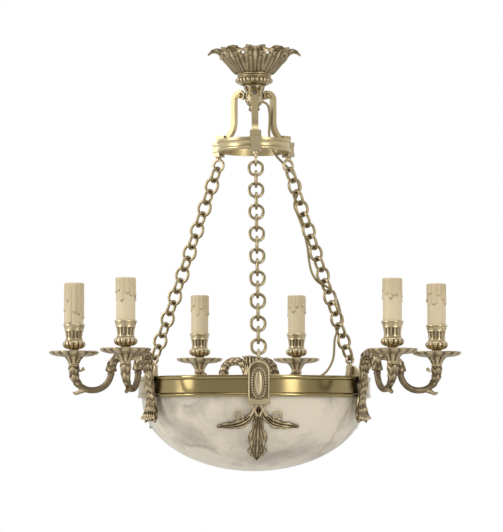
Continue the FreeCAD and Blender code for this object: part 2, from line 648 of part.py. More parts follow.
def bracket_leaf():
    """A boss on the band, with a pendant leaf below it and a curling leaf above it."""
    half, thick, back = BRACKET_BOSS_HALF, BRACKET_LEAF_THICK, BRACKET_BACK_R
    boss = box((back, -half, BRACKET_BOSS_FOOT), (BOSS_R, half, BRACKET_BOSS_TOP))
    face = BOSS_R - 0.5
    hang = [(face, 36), (face - 1, 20), (back + 4, 0), (back + 3.4, -14), (back + 5, -24),
            (back + 9, -31), (back + 9, -35), (back + 5, -33), (back + 2.5, -26),
            (back, -14), (back, 0), (back + 2, 20), (back + 2, 36)]
    lower = radial_slab(hang, 2 * half).common(facing_slab(
        mirrored_steps([(half - 1, 36), (half, 20), (half + 1, 4), (half + 3.5, -10),
                        (half + 7, -22), (half + 10.5, -31), (4, -35), (0, -35)]),
        back - 1, back + 20))
    top = BRACKET_BOSS_TOP
    curl = [(back + 0.4, top - 2), (back + 0.4, top + 12), (back + 8, top + 21),
            (back + 19, top + 24), (back + 28, top + 17), (back + 26, top + 15),
            (back + 18.5, top + 24 - thick), (back + 10, top + 21 - thick),
            (back + 0.4 + thick, top + 11), (back + 0.4 + thick, top - 2)]
    upper = radial_slab(curl, 2 * half).common(facing_slab(
        mirrored_steps([(half - 2, top - 2), (half - 2, top + 8), (half + 4, top + 16),
                        (half + 5, top + 20), (6, top + 25), (0, top + 25)]),
        back - 1, back + 30))
    body = fuse(boss, lower, upper)
    return body.cut(cylinder(FIX_SCREW_R + BOLT_GAP, FIX_SCREW_BITE + 1,
                             vec(back, 0, FIX_SCREW_HEIGHT), OUT))


ARM_ROOT_R = RING_R + ARM_ROOT_OUT
ARM_REACH_R = RING_R + ARM_OUTREACH
ARM_LONG = math.hypot(ARM_REACH_R - ARM_ROOT_R, ARM_SPREAD)
ARM_TURN = math.degrees(math.atan2(ARM_SPREAD, ARM_REACH_R - ARM_ROOT_R))


def arm_path_corners():
    """The corners of the arm's path in its own upright plane, root to tip."""
    return [vec(0, 0, ARM_ROOT_HEIGHT), vec(ARM_HUMP_START, 0, ARM_HUMP_TOP),
            vec(ARM_HUMP_START + ARM_HUMP_LONG, 0, ARM_HUMP_TOP),
            vec(ARM_LONG - ARM_DIP_BACK, 0, ARM_DIP), vec(ARM_LONG, 0, ARM_DIP),
            vec(ARM_LONG, 0, ARM_TOP)]


def arm_in_its_plane():
    """The arm along +X from its root: tube, thicker hump, knuckle, stem and scrolls."""
    corners = arm_path_corners()
    radii = [ARM_HUMP_BEND, ARM_HUMP_BEND, ARM_DIP_BEND, ARM_DIP_BEND]
    tube = tube_along(bent_wire(corners, radii), ARM_TUBE_R)
    slope = corners[3] - corners[2]
    knuckle = corners[2] + slope * ARM_KNUCKLE_SHARE
    hump = tube_along(bent_wire(corners[:3] + [knuckle], radii[:2]), ARM_HUMP_R)
    way = FreeCAD.Vector(slope).normalize()
    flare = Part.makeCone(ARM_HUMP_R - 0.5, ARM_KNUCKLE_R, 9, knuckle - way * 4, way)
    stem_foot = ARM_TOP - 26
    stem = Part.makeCone(ARM_TUBE_R + 0.4, ARM_STEM_R, ARM_TOP - stem_foot,
                         vec(ARM_LONG, 0, stem_foot), UP)
    knob = cylinder(ARM_KNOB_R, 8, vec(ARM_LONG - ARM_STEM_R - ARM_KNOB_R + 0.6, -4,
                                       ARM_KNOB_HEIGHT), ASIDE)
    tip_way = vec(2, 0, -1).normalize()
    spur = Part.makeCone(4.2, 0.8, 16, vec(ARM_LONG - 10, 0, ARM_DIP + 6), tip_way)
    return fuse(tube, hump, flare, stem, knob, spur)


def candle_arm(side):
    """The arm turned to its side of the bracket and cut back to the bracket's boss."""
    arm = arm_in_its_plane()
    arm = arm.cut(cylinder(NIPPLE_R + BOLT_GAP, NIPPLE_IN_ARM + 1,
                           vec(ARM_LONG, 0, ARM_TOP - NIPPLE_IN_ARM)))
    arm.rotate(vec(0, 0, 0), UP, side * ARM_TURN)
    arm.translate(vec(ARM_ROOT_R, 0, 0))
    beyond = 60.0
    other_half = box((ARM_ROOT_R - beyond, 0, -beyond), (ARM_ROOT_R + 2 * beyond, beyond, 2 * beyond))
    if side > 0:
        other_half.translate(vec(0, -beyond, 0))
    arm = arm.cut(other_half)
    inside = box((ARM_ROOT_R - beyond, -BRACKET_BOSS_HALF, -beyond),
                 (BOSS_R, BRACKET_BOSS_HALF, 2 * beyond))
    behind = box((ARM_ROOT_R - beyond, -beyond, -beyond), (BOSS_R - 4, beyond, 2 * beyond))
    return arm.cut(inside).cut(behind)


# ---------------------------------------------------------------- candle fittings

CALYX_TOP = ARM_TOP + CALYX_TALL
BOBECHE_TOP = CALYX_TOP + BOBECHE_TALL
CUP_FOOT = BOBECHE_TOP
CUP_BODY = CUP_FOOT + CUP_NECK_TALL
CUP_TOP = CUP_BODY + CUP_TALL
SLEEVE_FOOT = CUP_TOP - SLEEVE_IN_CUP
SLEEVE_TOP = SLEEVE_FOOT + SLEEVE_TALL
HOLDER_FOOT = SLEEVE_FOOT - SEAT_GAP
HOLDER_TOP = SLEEVE_TOP - HOLDER_BELOW_TOP
HOLDER_R = SLEEVE_R - SLEEVE_WALL - HOLDER_GAP


def calyx():
    hub, foot, top = NIPPLE_R + BOLT_GAP, ARM_TOP, CALYX_TOP
    return turned([(hub, foot), (ARM_STEM_R - 0.5, foot), (ARM_STEM_R - 0.5, foot + 2.5),
                   ((CALYX_R - 3.4, foot + 8), (CALYX_R, top - 2.5)), (CALYX_R, top),
                   (hub, top)])


def bobeche():
    """A shallow drip pan with a scalloped rim."""
    hub, foot, top, rim = NIPPLE_R + BOLT_GAP, CALYX_TOP, BOBECHE_TOP, BOBECHE_R
    pan = turned([(hub, foot), (CALYX_R, foot), ((rim * 0.7, foot + 0.6), (rim, foot + 3)),
                  ((rim + 0.3, foot + 4.2), (rim - 0.6, foot + 5.2)),
                  ((rim * 0.66, foot + 2.6), (CUP_NECK_R + 3.5, foot + 3.4)),
                  (CUP_NECK_R + 1.5, top), (hub, top)])
    for k in range(BOBECHE_SCALLOPS):
        angle = math.radians((k + 0.5) * 360.0 / BOBECHE_SCALLOPS)
        pan = pan.cut(cylinder(2.0, BOBECHE_TALL + 2, vec((rim + 1.2) * math.cos(angle),
                                                         (rim + 1.2) * math.sin(angle),
                                                         foot - 1)))
    return pan


def candle_cup():
    """A bulb, a waist and a rim, bored to take the sleeve."""
    hub, foot = NIPPLE_R + BOLT_GAP, CUP_FOOT
    body, top = CUP_BODY, CUP_TOP
    bore = SLEEVE_R + SEAT_GAP
    return turned([(hub, foot), (CUP_NECK_R, foot), (CUP_NECK_R, body),
                   ((CUP_BULB_R - 2.2, body + 3), (CUP_BULB_R, body + 8)),
                   ((CUP_BULB_R - 1.2, body + 11.4), (CUP_WAIST_R + 0.6, body + 14.5)),
                   (CUP_WAIST_R, body + 20), ((CUP_WAIST_R + 0.9, body + 28),
                                              (CUP_RIM_R - 0.6, top - 3)),
                   (CUP_RIM_R, top - 2), (CUP_RIM_R, top), (bore, top),
                   (bore, HOLDER_FOOT), (hub, HOLDER_FOOT)])


def lamp_nipple():
    foot = ARM_TOP - NIPPLE_IN_ARM + SEAT_GAP
    top = HOLDER_FOOT + NIPPLE_IN_HOLDER
    outside = cylinder(NIPPLE_R, top - foot, vec(0, 0, foot))
    return outside.cut(cylinder(NIPPLE_R - 1.5, top - foot, vec(0, 0, foot)))


def candle_lampholder():
    """A tall lampholder: nipple socket below and bulb socket above."""
    body = cylinder(HOLDER_R, HOLDER_TOP - HOLDER_FOOT, vec(0, 0, HOLDER_FOOT))
    body = body.cut(cylinder(NIPPLE_R + BOLT_GAP, NIPPLE_IN_HOLDER + SEAT_GAP,
                             vec(0, 0, HOLDER_FOOT)))
    return body.cut(cylinder(SOCKET_R, SOCKET_DEEP, vec(0, 0, HOLDER_TOP - SOCKET_DEEP)))


def candle_sleeve():
    """A card tube with a thicker collar of wax runs at its top."""
    tube = cylinder(SLEEVE_R, SLEEVE_TALL, vec(0, 0, SLEEVE_FOOT))
    wax = turned([(0, SLEEVE_TOP - WAX_TALL), (SLEEVE_R, SLEEVE_TOP - WAX_TALL),
                  (SLEEVE_R + WAX_THICK, SLEEVE_TOP - WAX_TALL + 4),
                  (SLEEVE_R + WAX_THICK, SLEEVE_TOP - 2), (SLEEVE_R - 0.4, SLEEVE_TOP),
                  (0, SLEEVE_TOP)])
    bore = cylinder(SLEEVE_R - SLEEVE_WALL, SLEEVE_TALL + 2, vec(0, 0, SLEEVE_FOOT - 1))
    return fuse(tube, wax).cut(bore)


# ---------------------------------------------------------------- inside the bowl

SPIDER_TOP = SPIDER_FOOT + SPIDER_BAR_THICK
SPIDER_REACH = RING_INNER_R - SEAT_GAP


def spider():
    """Three flat bars from a hub to upturned tabs on the band's inner wall."""
    half = SPIDER_BAR_WIDTH / 2
    hub = cylinder(HUB_R, SPIDER_TOP + HUB_DROP, vec(0, 0, -HUB_DROP))
    bars = []
    for station in BRACKET_STATIONS.values():
        bar = box((0, -half, SPIDER_FOOT), (SPIDER_REACH - 0.2, half, SPIDER_TOP))
        tab = box((SPIDER_REACH - 0.2 - SPIDER_TAB_THICK, -half, SPIDER_FOOT),
                  (SPIDER_REACH - 0.2, half, RING_TALL - 2))
        bars.append(at_station(fuse(bar, tab), station))
    body = fuse(hub, *bars)
    for station in BRACKET_STATIONS.values():
        hole = cylinder(FIX_SCREW_R + BOLT_GAP, 10, vec(RING_INNER_R - 8, 0, FIX_SCREW_HEIGHT),
                        OUT)
        body = body.cut(at_station(hole, station))
    for station in CHAIN_STATIONS.values():
        spigot_hole = cylinder(NIPPLE_R + BOLT_GAP, HUB_R,
                               vec(HUB_R - BOWL_LAMP_SPIGOT - SEAT_GAP, 0, BOWL_LAMP_HEIGHT),
                               OUT)
        body = body.cut(at_station(spigot_hole, station))
    gland = cylinder(CABLE_R + SEAT_GAP, 12, vec(0, 0, SPIDER_TOP - 10))
    return body.cut(gland)


def bowl_lampholder():
    """A lampholder lying outwards, screwed into the hub by its spigot."""
    back, mouth = BOWL_LAMP_BACK_R, BOWL_LAMP_MOUTH_R
    body = cylinder(BOWL_LAMP_R, mouth - back, vec(back, 0, BOWL_LAMP_HEIGHT), OUT)
    spigot_foot = HUB_R - BOWL_LAMP_SPIGOT
    spigot = cylinder(NIPPLE_R, back - spigot_foot, vec(spigot_foot, 0, BOWL_LAMP_HEIGHT), OUT)
    socket = cylinder(SOCKET_R, SOCKET_DEEP, vec(mouth - SOCKET_DEEP, 0, BOWL_LAMP_HEIGHT), OUT)
    return fuse(body, spigot).cut(socket)


def ring_screws():
    """One screw from inside the band at each bracket and at each plaque."""
    behind_tab = SPIDER_REACH - 0.2 - SPIDER_TAB_THICK
    long_screw = screw(FIX_SCREW_R, FIX_SCREW_HEAD_R, FIX_SCREW_HEAD_TALL,
                       vec(behind_tab, 0, FIX_SCREW_HEIGHT), OUT,
                       BRACKET_BACK_R + FIX_SCREW_BITE - behind_tab)
    short_screw = screw(FIX_SCREW_R, FIX_SCREW_HEAD_R, FIX_SCREW_HEAD_TALL,
                        vec(RING_INNER_R - 0.1, 0, FIX_SCREW_HEIGHT), OUT,
                        PLAQUE_BACK_R + PLAQUE_THICK - 1.5 - RING_INNER_R)
    screws = [at_station(long_screw, s) for s in BRACKET_STATIONS.values()]
    return screws + [at_station(short_screw, s) for s in CHAIN_STATIONS.values()]


# ---------------------------------------------------------------- chains

UPPER_EYE_MIDDLE = vec(TOP_EYE_STATION_R, 0, TOP_EYE_CENTRE)
LOWER_EYE_MIDDLE = vec(LOWER_EYE_STATION_R, 0, LOWER_EYE_CENTRE)
CHAIN_WAY = (LOWER_EYE_MIDDLE - UPPER_EYE_MIDDLE).normalize()
CHAIN_TOP = UPPER_EYE_MIDDLE + CHAIN_WAY * TOP_EYE_R
CHAIN_FOOT = LOWER_EYE_MIDDLE - CHAIN_WAY * LOWER_EYE_R
CHAIN_LONG = CHAIN_TOP.distanceToPoint(CHAIN_FOOT)
TOP_OVERLAP = TOP_EYE_WIRE_R + LINK_WIRE_R + EYE_GAP
FOOT_OVERLAP = LOWER_EYE_WIRE_R + LINK_WIRE_R + EYE_GAP
# n links with wire centres L apart reach n L - (n - 1) (2 wire + gap) between end wires
LINK_CENTRES = ((CHAIN_LONG + TOP_OVERLAP + FOOT_OVERLAP
                 + (CHAIN_LINKS - 1) * (2 * LINK_WIRE_R + LINK_GAP)) / CHAIN_LINKS)
LINK_PITCH = LINK_CENTRES - 2 * LINK_WIRE_R - LINK_GAP


def chain_link():
    """An oval link in the XZ plane, long way along Z, centred on the origin."""
    bend = LINK_WIDTH / 2 - LINK_WIRE_R
    straight = LINK_CENTRES - 2 * bend
    half = straight / 2
    upper = Part.makeTorus(bend, LINK_WIRE_R, vec(0, 0, 0), UP, -180, 180, 180)
    upper.rotate(vec(0, 0, 0), OUT, 90)
    upper.translate(vec(0, 0, half))
    lower = upper.mirror(vec(0, 0, 0), UP)
    sides = [cylinder(LINK_WIRE_R, straight, vec(x, 0, -half)) for x in (-bend, bend)]
    return fuse(upper, lower, *sides)


def chain():
    """All links of one chain at station +X; the odd ones lie across the radial plane."""
    link = chain_link()
    lean = -math.degrees(math.atan2(CHAIN_WAY.x, -CHAIN_WAY.z))
    links = []
    for k in range(CHAIN_LINKS):
        piece = link.copy()
        if k % 2 == 0:
            piece.rotate(vec(0, 0, 0), UP, 90)
        piece.rotate(vec(0, 0, 0), ASIDE, lean)
        reach = LINK_CENTRES / 2 - TOP_OVERLAP + k * LINK_PITCH
        piece.translate(CHAIN_TOP + CHAIN_WAY * reach)
        links.append(piece)
    return links


# ---------------------------------------------------------------- supply cable

# Upper stretch, (radius, aside, height): out of the neck, down behind the scroll arm,
# through the top ring and out below it, beside the block.
CABLE_UPPER = [(7.5, 0, 448.5), (23, 0, 448.3), (28.2, 0.5, 434), (28.2, 1, 416),
               (29, 4.5, 399), (36, 10.5, 384), (47, 13.8, 369.5),
               (58, 12.5, 359.5)]
# Woven stretch, (distance down the chain, off outwards, aside): out and in past the links.
CABLE_WOVEN = [(2, 9.5, 9.5), (19, 12.5, 6.6), (33.6, 10, 5.2), (49.6, -10, 5.0), (71, -6.3, 5.2),
               (95, -5.6, 5.0), (119, -7.5, 5.3), (141, -13, 5.6), (159, -15, 5.4),
               (176, -10, 5.1), (192, 10, 5.1), (209, 14.6, 5.4), (230, 14.2, 5.6),
               (247.2, 10, 5.1), (263.2, -10, 5.1), (279, -16, 6.5)]
# Lower stretch, (radius, aside, height): over the band's rim and across to the hub.
CABLE_LOWER = [(151, 11, 62), (141, 13.5, 42), (122, 12, 32), (100, 6, 30), (76, -1, 31),
               (52, -5, 30), (28, -4, 31), (8, -1.2, 31), (0, 0, 23), (0, 0, 12)]


def cable_points():
    across = vec(-CHAIN_WAY.z, 0, CHAIN_WAY.x)
    woven = [CHAIN_TOP + CHAIN_WAY * a + across * out + ASIDE * side
             for a, out, side in CABLE_WOVEN]
    return [vec(*p) for p in CABLE_UPPER] + woven + [vec(*p) for p in CABLE_LOWER]


def supply_cable():
    """One round cable on straight runs and tangent arcs as wide as the runs allow."""
    points = cable_points()
    radii = []
    for before, corner, after in zip(points, points[1:], points[2:]):
        turn = math.pi - (before - corner).getAngle(after - corner)
        run = min(before.distanceToPoint(corner), corner.distanceToPoint(after))
        radii.append(0.45 * run / math.tan(turn / 2))
    path = bent_wire(points, radii)
    cable = tube_along(path, CABLE_R)
    section = math.pi * CABLE_R ** 2
    print("cable radii", [round(r, 1) for r in radii])
    print("cable length %.1f, volume over section and length %.5f"
          % (path.Length, cable.Volume / (section * path.Length)))
    return at_station(cable, CHAIN_STATIONS["right"])


# ---------------------------------------------------------------- the whole object

def arm_tip(station, side):
    """The place of one candle, as a move from the Z axis."""
    tip = Part.Vertex(ARM_REACH_R, side * ARM_SPREAD, 0)
    tip.rotate(vec(0, 0, 0), UP, station - 90.0)
    return tip.Point


def build():
    nodes = {
        "hanging_loop": [hanging_loop()], "central_stem": [central_stem()],
        "stem_nut": [stem_nut()], "crown": [crown()], "crown_collar": [crown_collar()],
        "scroll_boss": [scroll_boss()], "foliate_finial": [foliate_finial()],
        "scroll_screws": scroll_screws(), "top_ring": [top_ring()],
        "bowl_ring": [bowl_ring()], "alabaster_bowl": [alabaster_bowl()],
        "spider": [spider()], "ring_screws": ring_screws(),
        "supply_cable": [supply_cable()],
        "ring_blocks": [at_station(ring_block(), s) for s in CHAIN_STATIONS.values()],
        "top_eyes": [at_station(top_eye(), s) for s in CHAIN_STATIONS.values()],
        "lower_eyes": [at_station(lower_eye(), s) for s in CHAIN_STATIONS.values()],
        "bowl_lampholders": [at_station(bowl_lampholder(), s)
                             for s in CHAIN_STATIONS.values()],
    }
    at_chains = {"scroll_arm": scroll_arm(), "plaque": plaque(), "leaf_spray": leaf_spray(),
                 "chain": Part.makeCompound(chain())}
    for name, shape in at_chains.items():
        for place, station in CHAIN_STATIONS.items():
            nodes[name + "_" + place] = at_station(shape, station).Solids
    bracket = bracket_leaf()
    arms = {"a": (candle_arm(-1), -1), "b": (candle_arm(1), 1)}
    on_tips = {"calyxes": calyx(), "candle_cups": candle_cup(), "lamp_nipples": lamp_nipple(),
               "candle_lampholders": candle_lampholder()}
    pan, sleeve = bobeche(), candle_sleeve()
    for name in on_tips:
        nodes[name] = []
    for place, station in BRACKET_STATIONS.items():
        nodes["bracket_leaf_" + place] = [at_station(bracket, station)]
        for letter, (arm, side) in arms.items():
            tip = arm_tip(station, side)
            own = place + "_" + letter
            nodes["candle_arm_" + own] = [at_station(arm, station)]
            nodes["bobeche_" + own] = [pan.translated(tip)]
            nodes["candle_sleeve_" + own] = [sleeve.translated(tip)]
            for name, shape in on_tips.items():
                nodes[name].append(shape.translated(tip))
    return nodes


os.makedirs("parts", exist_ok=True)
for node, solids in build().items():
    for solid in solids:
        solid.translate(vec(0, 0, -LOOP_HEIGHT))
    whole = solids[0] if len(solids) == 1 else Part.makeCompound(solids)
    whole.exportStep("parts/" + node + ".step")
    print("%-28s %3d solids, volume %.1f, %s"
          % (node, len(whole.Solids), whole.Volume, "valid" if whole.isValid() else "NOT VALID"))
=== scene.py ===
"""Dresses a six-light bronze chandelier with an alabaster bowl and films it in a studio.

Lengths inside the piece classes are millimetres and heights are measured up from the foot
of the bowl's band.  A station is an angle round the vertical axis, from the front towards
+X, and a shape made for a station is written as (radius, aside, height).  ``at_station``
turns it there, and ``Workshop.piece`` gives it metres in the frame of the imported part.
"""

import json
import logging
import math
from dataclasses import dataclass, field
from enum import Enum
from typing import Callable, Optional, Sequence

import bmesh
import bpy
import numpy as np
from mathutils import Matrix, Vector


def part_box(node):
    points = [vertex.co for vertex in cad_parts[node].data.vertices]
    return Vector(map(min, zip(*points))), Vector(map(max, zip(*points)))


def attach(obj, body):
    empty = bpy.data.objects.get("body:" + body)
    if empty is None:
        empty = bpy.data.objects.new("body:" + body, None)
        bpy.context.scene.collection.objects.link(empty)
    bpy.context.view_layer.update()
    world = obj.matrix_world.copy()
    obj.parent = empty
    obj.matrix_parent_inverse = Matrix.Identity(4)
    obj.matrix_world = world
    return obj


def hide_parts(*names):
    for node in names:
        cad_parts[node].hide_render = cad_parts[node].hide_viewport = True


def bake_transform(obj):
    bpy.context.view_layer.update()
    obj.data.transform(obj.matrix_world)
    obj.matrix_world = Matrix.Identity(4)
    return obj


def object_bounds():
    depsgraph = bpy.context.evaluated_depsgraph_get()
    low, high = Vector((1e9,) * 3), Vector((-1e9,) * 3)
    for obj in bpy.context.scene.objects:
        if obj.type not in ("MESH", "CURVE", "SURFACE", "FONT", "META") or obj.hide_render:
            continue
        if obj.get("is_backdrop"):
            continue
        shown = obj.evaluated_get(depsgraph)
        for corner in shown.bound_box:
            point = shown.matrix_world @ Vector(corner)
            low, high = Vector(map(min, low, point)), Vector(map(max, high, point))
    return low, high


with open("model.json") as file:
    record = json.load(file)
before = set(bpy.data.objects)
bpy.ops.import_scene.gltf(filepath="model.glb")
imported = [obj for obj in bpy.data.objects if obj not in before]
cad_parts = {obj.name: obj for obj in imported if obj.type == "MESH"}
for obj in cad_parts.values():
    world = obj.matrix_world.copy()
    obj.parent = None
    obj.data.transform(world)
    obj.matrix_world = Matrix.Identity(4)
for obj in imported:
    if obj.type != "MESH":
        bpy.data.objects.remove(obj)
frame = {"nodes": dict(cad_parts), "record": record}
LOG = logging.getLogger("chandelier")

MM = 0.001
RING_FOOT_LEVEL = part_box("bowl_ring")[0][2]
CHAIN_STATIONS = {"front": 0.0, "right": 120.0, "left": -120.0}
BRACKET_STATIONS = {"right": 60.0, "left": -60.0, "rear": 180.0}
ARM_SIDES = {"a": -1.0, "b": 1.0}
RING_R = 175.0  # the band's outer radius
SEAT_GAP = 0.3  # between a mount and the piece that it sits on
BOLT_GAP = 0.1  # between a bored piece and the bolt through it
MERGE_WITHIN = 2e-6  # metres; points nearer than this are one
SHARP_EDGE = math.radians(50)  # faces that meet at more than this aren't shaded as one
BACK_RECESS = 0.45  # the recess value of a leaf's hidden side

Points = np.ndarray
Triple = tuple[float, float, float]
Relief = tuple[np.ndarray, np.ndarray, np.ndarray]
Shape = Callable[[np.ndarray, np.ndarray, np.ndarray], Relief]


class Body(Enum):
    """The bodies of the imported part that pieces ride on."""

    CEILING = "ceiling_body"
    BOWL_FRAME = "bowl_frame"


class Slot(Enum):
    """The record's material slots."""

    GILT = "gilt_bronze"
    POLISHED = "polished_bronze"
    CHAIN = "chain_brass"
    PLAIN = "plain_brass"
    STEEL = "screw_steel"
    ALABASTER = "alabaster"
    CANDLE = "candle_card"
    HOLDER = "lampholder"
    CABLE = "cable"


# ------------------------------------------------------------------ curves and shells


def run_along(points: Points) -> np.ndarray:
    """The length of a line up to each of its points."""
    return np.r_[0.0, np.cumsum(np.linalg.norm(np.diff(points, axis=0), axis=1))]


def tangents(path: Points) -> Points:
    """Unit tangents of a line at its points."""
    way = np.gradient(path, axis=0)
    return way / np.linalg.norm(way, axis=1, keepdims=True)


def circle(steps: int) -> np.ndarray:
    """Even angles round one full turn, without the last."""
    return np.linspace(0, 2 * math.pi, steps, endpoint=False)


def through(points: Sequence[Sequence[float]], count: int) -> Points:
    """A smooth curve through points: cubic Hermite spans over chord length.

    Args:
        points: The places that the curve passes, in order.
        count: How many samples it gives, evenly spaced by chord length.

    Returns:
        The samples, one a row.
    """
    knots = np.asarray(points, float)
    chord = run_along(knots)
    at = np.linspace(0.0, chord[-1], count)
    slope = np.gradient(knots, chord, axis=0)
    i = np.clip(np.searchsorted(chord, at, side="right") - 1, 0, len(chord) - 2)
    span = (chord[i + 1] - chord[i])[:, None]
    s = (at - chord[i])[:, None] / span
    return ((2 * s**3 - 3 * s**2 + 1) * knots[i] + (s**3 - 2 * s**2 + s) * span * slope[i]
            + (3 * s**2 - 2 * s**3) * knots[i + 1] + (s**3 - s**2) * span * slope[i + 1])


def rounded(corners: Sequence[Sequence[float]], radii: Sequence[float], step: float) -> Points:
    """Straight runs joined by tangent arcs, sampled evenly.

    Each corner's arc starts and ends radius * tan(turn / 2) away from the corner.

    Args:
        corners: The path's corners, ends included.
        radii: The arcs' radii, one for each inner corner.
        step: The distance between samples.

    Returns:
        The samples, one a row.
    """
    dense = [np.asarray(corners[0], float)[None, :]]
    for before, corner, after, radius in zip(corners, corners[1:], corners[2:], radii):
        before, corner, after = (np.asarray(p, float) for p in (before, corner, after))
        back = (before - corner) / np.linalg.norm(before - corner)
        ahead = (after - corner) / np.linalg.norm(after - corner)
        turn = math.pi - math.acos(float(np.clip(back @ ahead, -1, 1)))
        setback = radius * math.tan(turn / 2)
        middle_way = (back + ahead) / np.linalg.norm(back + ahead)
        centre = corner + middle_way * radius / math.cos(turn / 2)
        spoke = corner + back * setback - centre
        other = corner + ahead * setback - centre
        share = np.linspace(0, 1, 24)[:, None]
        dense.append(centre + (np.sin((1 - share) * turn) * spoke
                               + np.sin(share * turn) * other) / math.sin(turn))
    dense.append(np.asarray(corners[-1], float)[None, :])
    path = np.concatenate(dense)
    run = run_along(path)
    at = np.linspace(0, run[-1], max(2, int(run[-1] / step)))
    return np.stack([np.interp(at, run, path[:, k]) for k in range(path.shape[1])], axis=1)


def smooth_step(low: float, high: float, value: np.ndarray) -> np.ndarray:
    """Rises from 0 at low to 1 at high as 3 t^2 - 2 t^3."""
    share = np.clip((value - low) / (high - low), 0, 1)
    return share * share * (3 - 2 * share)


def grid_faces(rows: int, columns: int, wrap_rows: bool, wrap_columns: bool) -> np.ndarray:
    """Four-sided faces of a grid of points.

    Args:
        rows: Points along the first parameter.
        columns: Points along the second parameter.
        wrap_rows: Joins the last row to the first.
        wrap_columns: Joins the last column to the first.

    Returns:
        The faces, four point numbers a row.
    """
    i = np.arange(rows if wrap_rows else rows - 1)[:, None]
    j = np.arange(columns if wrap_columns else columns - 1)[None, :]
    near, far = i, (i + 1) % rows
    left, right = j, (j + 1) % columns
    return np.stack([near * columns + left, near * columns + right,
                     far * columns + right, far * columns + left], axis=-1).reshape(-1, 4)


@dataclass
class Shell:
    """A closed surface, with a recess value at each point: 0 on a crest, 1 in a hollow; the
    finishes darken colour by it, as patina and painted shade.
    """

    points: Points
    faces: np.ndarray
    recess: np.ndarray

    @staticmethod
    def joined(shells: Sequence["Shell"]) -> "Shell":
        """Several shells as one, their faces renumbered."""
        starts = np.cumsum([0] + [len(s.points) for s in shells[:-1]])
        return Shell(np.concatenate([s.points for s in shells]),
                     np.concatenate([s.faces + k for s, k in zip(shells, starts)]),
                     np.concatenate([s.recess for s in shells]))

    def moved(self, x: float = 0.0, y: float = 0.0, z: float = 0.0) -> "Shell":
        """The same shell carried by a step."""
        return Shell(self.points + np.array([x, y, z]), self.faces, self.recess)

    def turned(self, degrees: float) -> "Shell":
        """The same shell turned about the Z axis."""
        c, s = math.cos(math.radians(degrees)), math.sin(math.radians(degrees))
        x, y, z = self.points.T
        return Shell(np.stack([c * x - s * y, s * x + c * y, z], axis=1), self.faces,
                     self.recess)


def lathed(profile: Sequence[Sequence[float]], around: int, shape: Optional[Shape] = None,
           closed: bool = True) -> Shell:
    """Carries an outline of (radius, height) round the Z axis.

    A point is (r cos t, r sin t, z), where shape may change r and z with the angle t.

    Args:
        profile: The outline's points.
        around: How many steps go round.
        shape: Takes angle, radius and height and gives radius, height and recess.
        closed: Joins the outline's last point to its first; otherwise both lie on the axis.

    Returns:
        The surface.
    """
    outline = np.asarray(profile, float)
    angle = circle(around)[None, :]
    r = np.repeat(outline[:, :1], around, axis=1)
    z = np.repeat(outline[:, 1:2], around, axis=1)
    recess = np.zeros_like(r)
    if shape is not None:
        r, z, recess = shape(angle + 0 * r, r, z)
    points = np.stack([r * np.cos(angle), r * np.sin(angle), z], axis=-1).reshape(-1, 3)
    return Shell(points, grid_faces(len(outline), around, closed, True), recess.ravel())


def swept(path: Points, radius: np.ndarray, binormal: Sequence[float], around: int,
          relief: Optional[Callable[[np.ndarray, np.ndarray], np.ndarray]] = None) -> Shell:
    """A round bar along a flat path, its section turned by the path's own tangent.

    A point is path(s) + (r + relief(s, t)) (n cos t + b sin t), with b the path's binormal.

    Args:
        path: Points along the bar's middle.
        radius: The bar's radius at each of them.
        binormal: The direction square to the path's plane.
        around: How many points go round.
        relief: Takes the share of the length and the angle and gives height added.

    Returns:
        The bar with both ends closed.
    """
    b = np.asarray(binormal, float)
    tangent = tangents(path)
    n = np.cross(b[None, :], tangent)
    angle = circle(around)[None, :]
    share = np.linspace(0, 1, len(path))[:, None]
    height = relief(share + 0 * angle, angle + 0 * share) if relief else np.zeros(
        (len(path), around))
    r = radius[:, None] + height
    points = (path[:, None, :] + r[..., None] * (np.cos(angle)[..., None] * n[:, None, :]
                                                 + np.sin(angle)[..., None] * b))
    # Low parts of the relief darken the colour: patina and painted shade in its hollows.
    low, high = float(height.min()), float(height.max())
    recess = (high - height) / (high - low) if high > low else np.zeros_like(height)
    first = np.repeat(path[:1][None], around, axis=1)
    last = np.repeat(path[-1:][None], around, axis=1)
    rows = np.concatenate([first, points, last])
    recess = np.concatenate([recess[:1], recess, recess[-1:]])
    return Shell(rows.reshape(-1, 3), grid_faces(len(path) + 2, around, False, True),
                 recess.ravel())


def beads(centres: Points, radius: float) -> Shell:
    """Small round beads: each point is centre + r (cos a cos b, sin a cos b, sin b)."""
    tall, around = 7, 10
    b = np.linspace(-math.pi / 2, math.pi / 2, tall)[:, None]
    a = circle(around)[None, :]
    ball = radius * np.stack([np.cos(a) * np.cos(b), np.sin(a) * np.cos(b),
                              np.sin(b) + 0 * a], axis=-1).reshape(-1, 3)
    faces = grid_faces(tall, around, False, True)
    return Shell.joined([Shell(ball + c, faces, np.full(len(ball), 0.1)) for c in centres])


def thick_sheet(front: Points, back: Points, recess: np.ndarray) -> Shell:
    """Two grids of the same size as one closed piece, joined by a strip round the border.

    Args:
        front: The shown side, rows by columns by 3.
        back: The hidden side, the same size.
        recess: The front's recess values.

    Returns:
        The closed piece.
    """
    rows, columns = front.shape[:2]
    count = rows * columns
    face = grid_faces(rows, columns, False, False)
    edge = np.concatenate([np.arange(columns), np.arange(1, rows) * columns + columns - 1,
                           (rows - 1) * columns + np.arange(columns - 2, -1, -1),
                           np.arange(rows - 2, 0, -1) * columns])
    after = np.roll(edge, -1)
    strip = np.stack([edge, edge + count, after + count, after], axis=1)
    return Shell(np.concatenate([front.reshape(-1, 3), back.reshape(-1, 3)]),
                 np.concatenate([face[:, ::-1], face + count, strip]),
                 np.concatenate([recess.ravel(), np.full(count, BACK_RECESS)]))


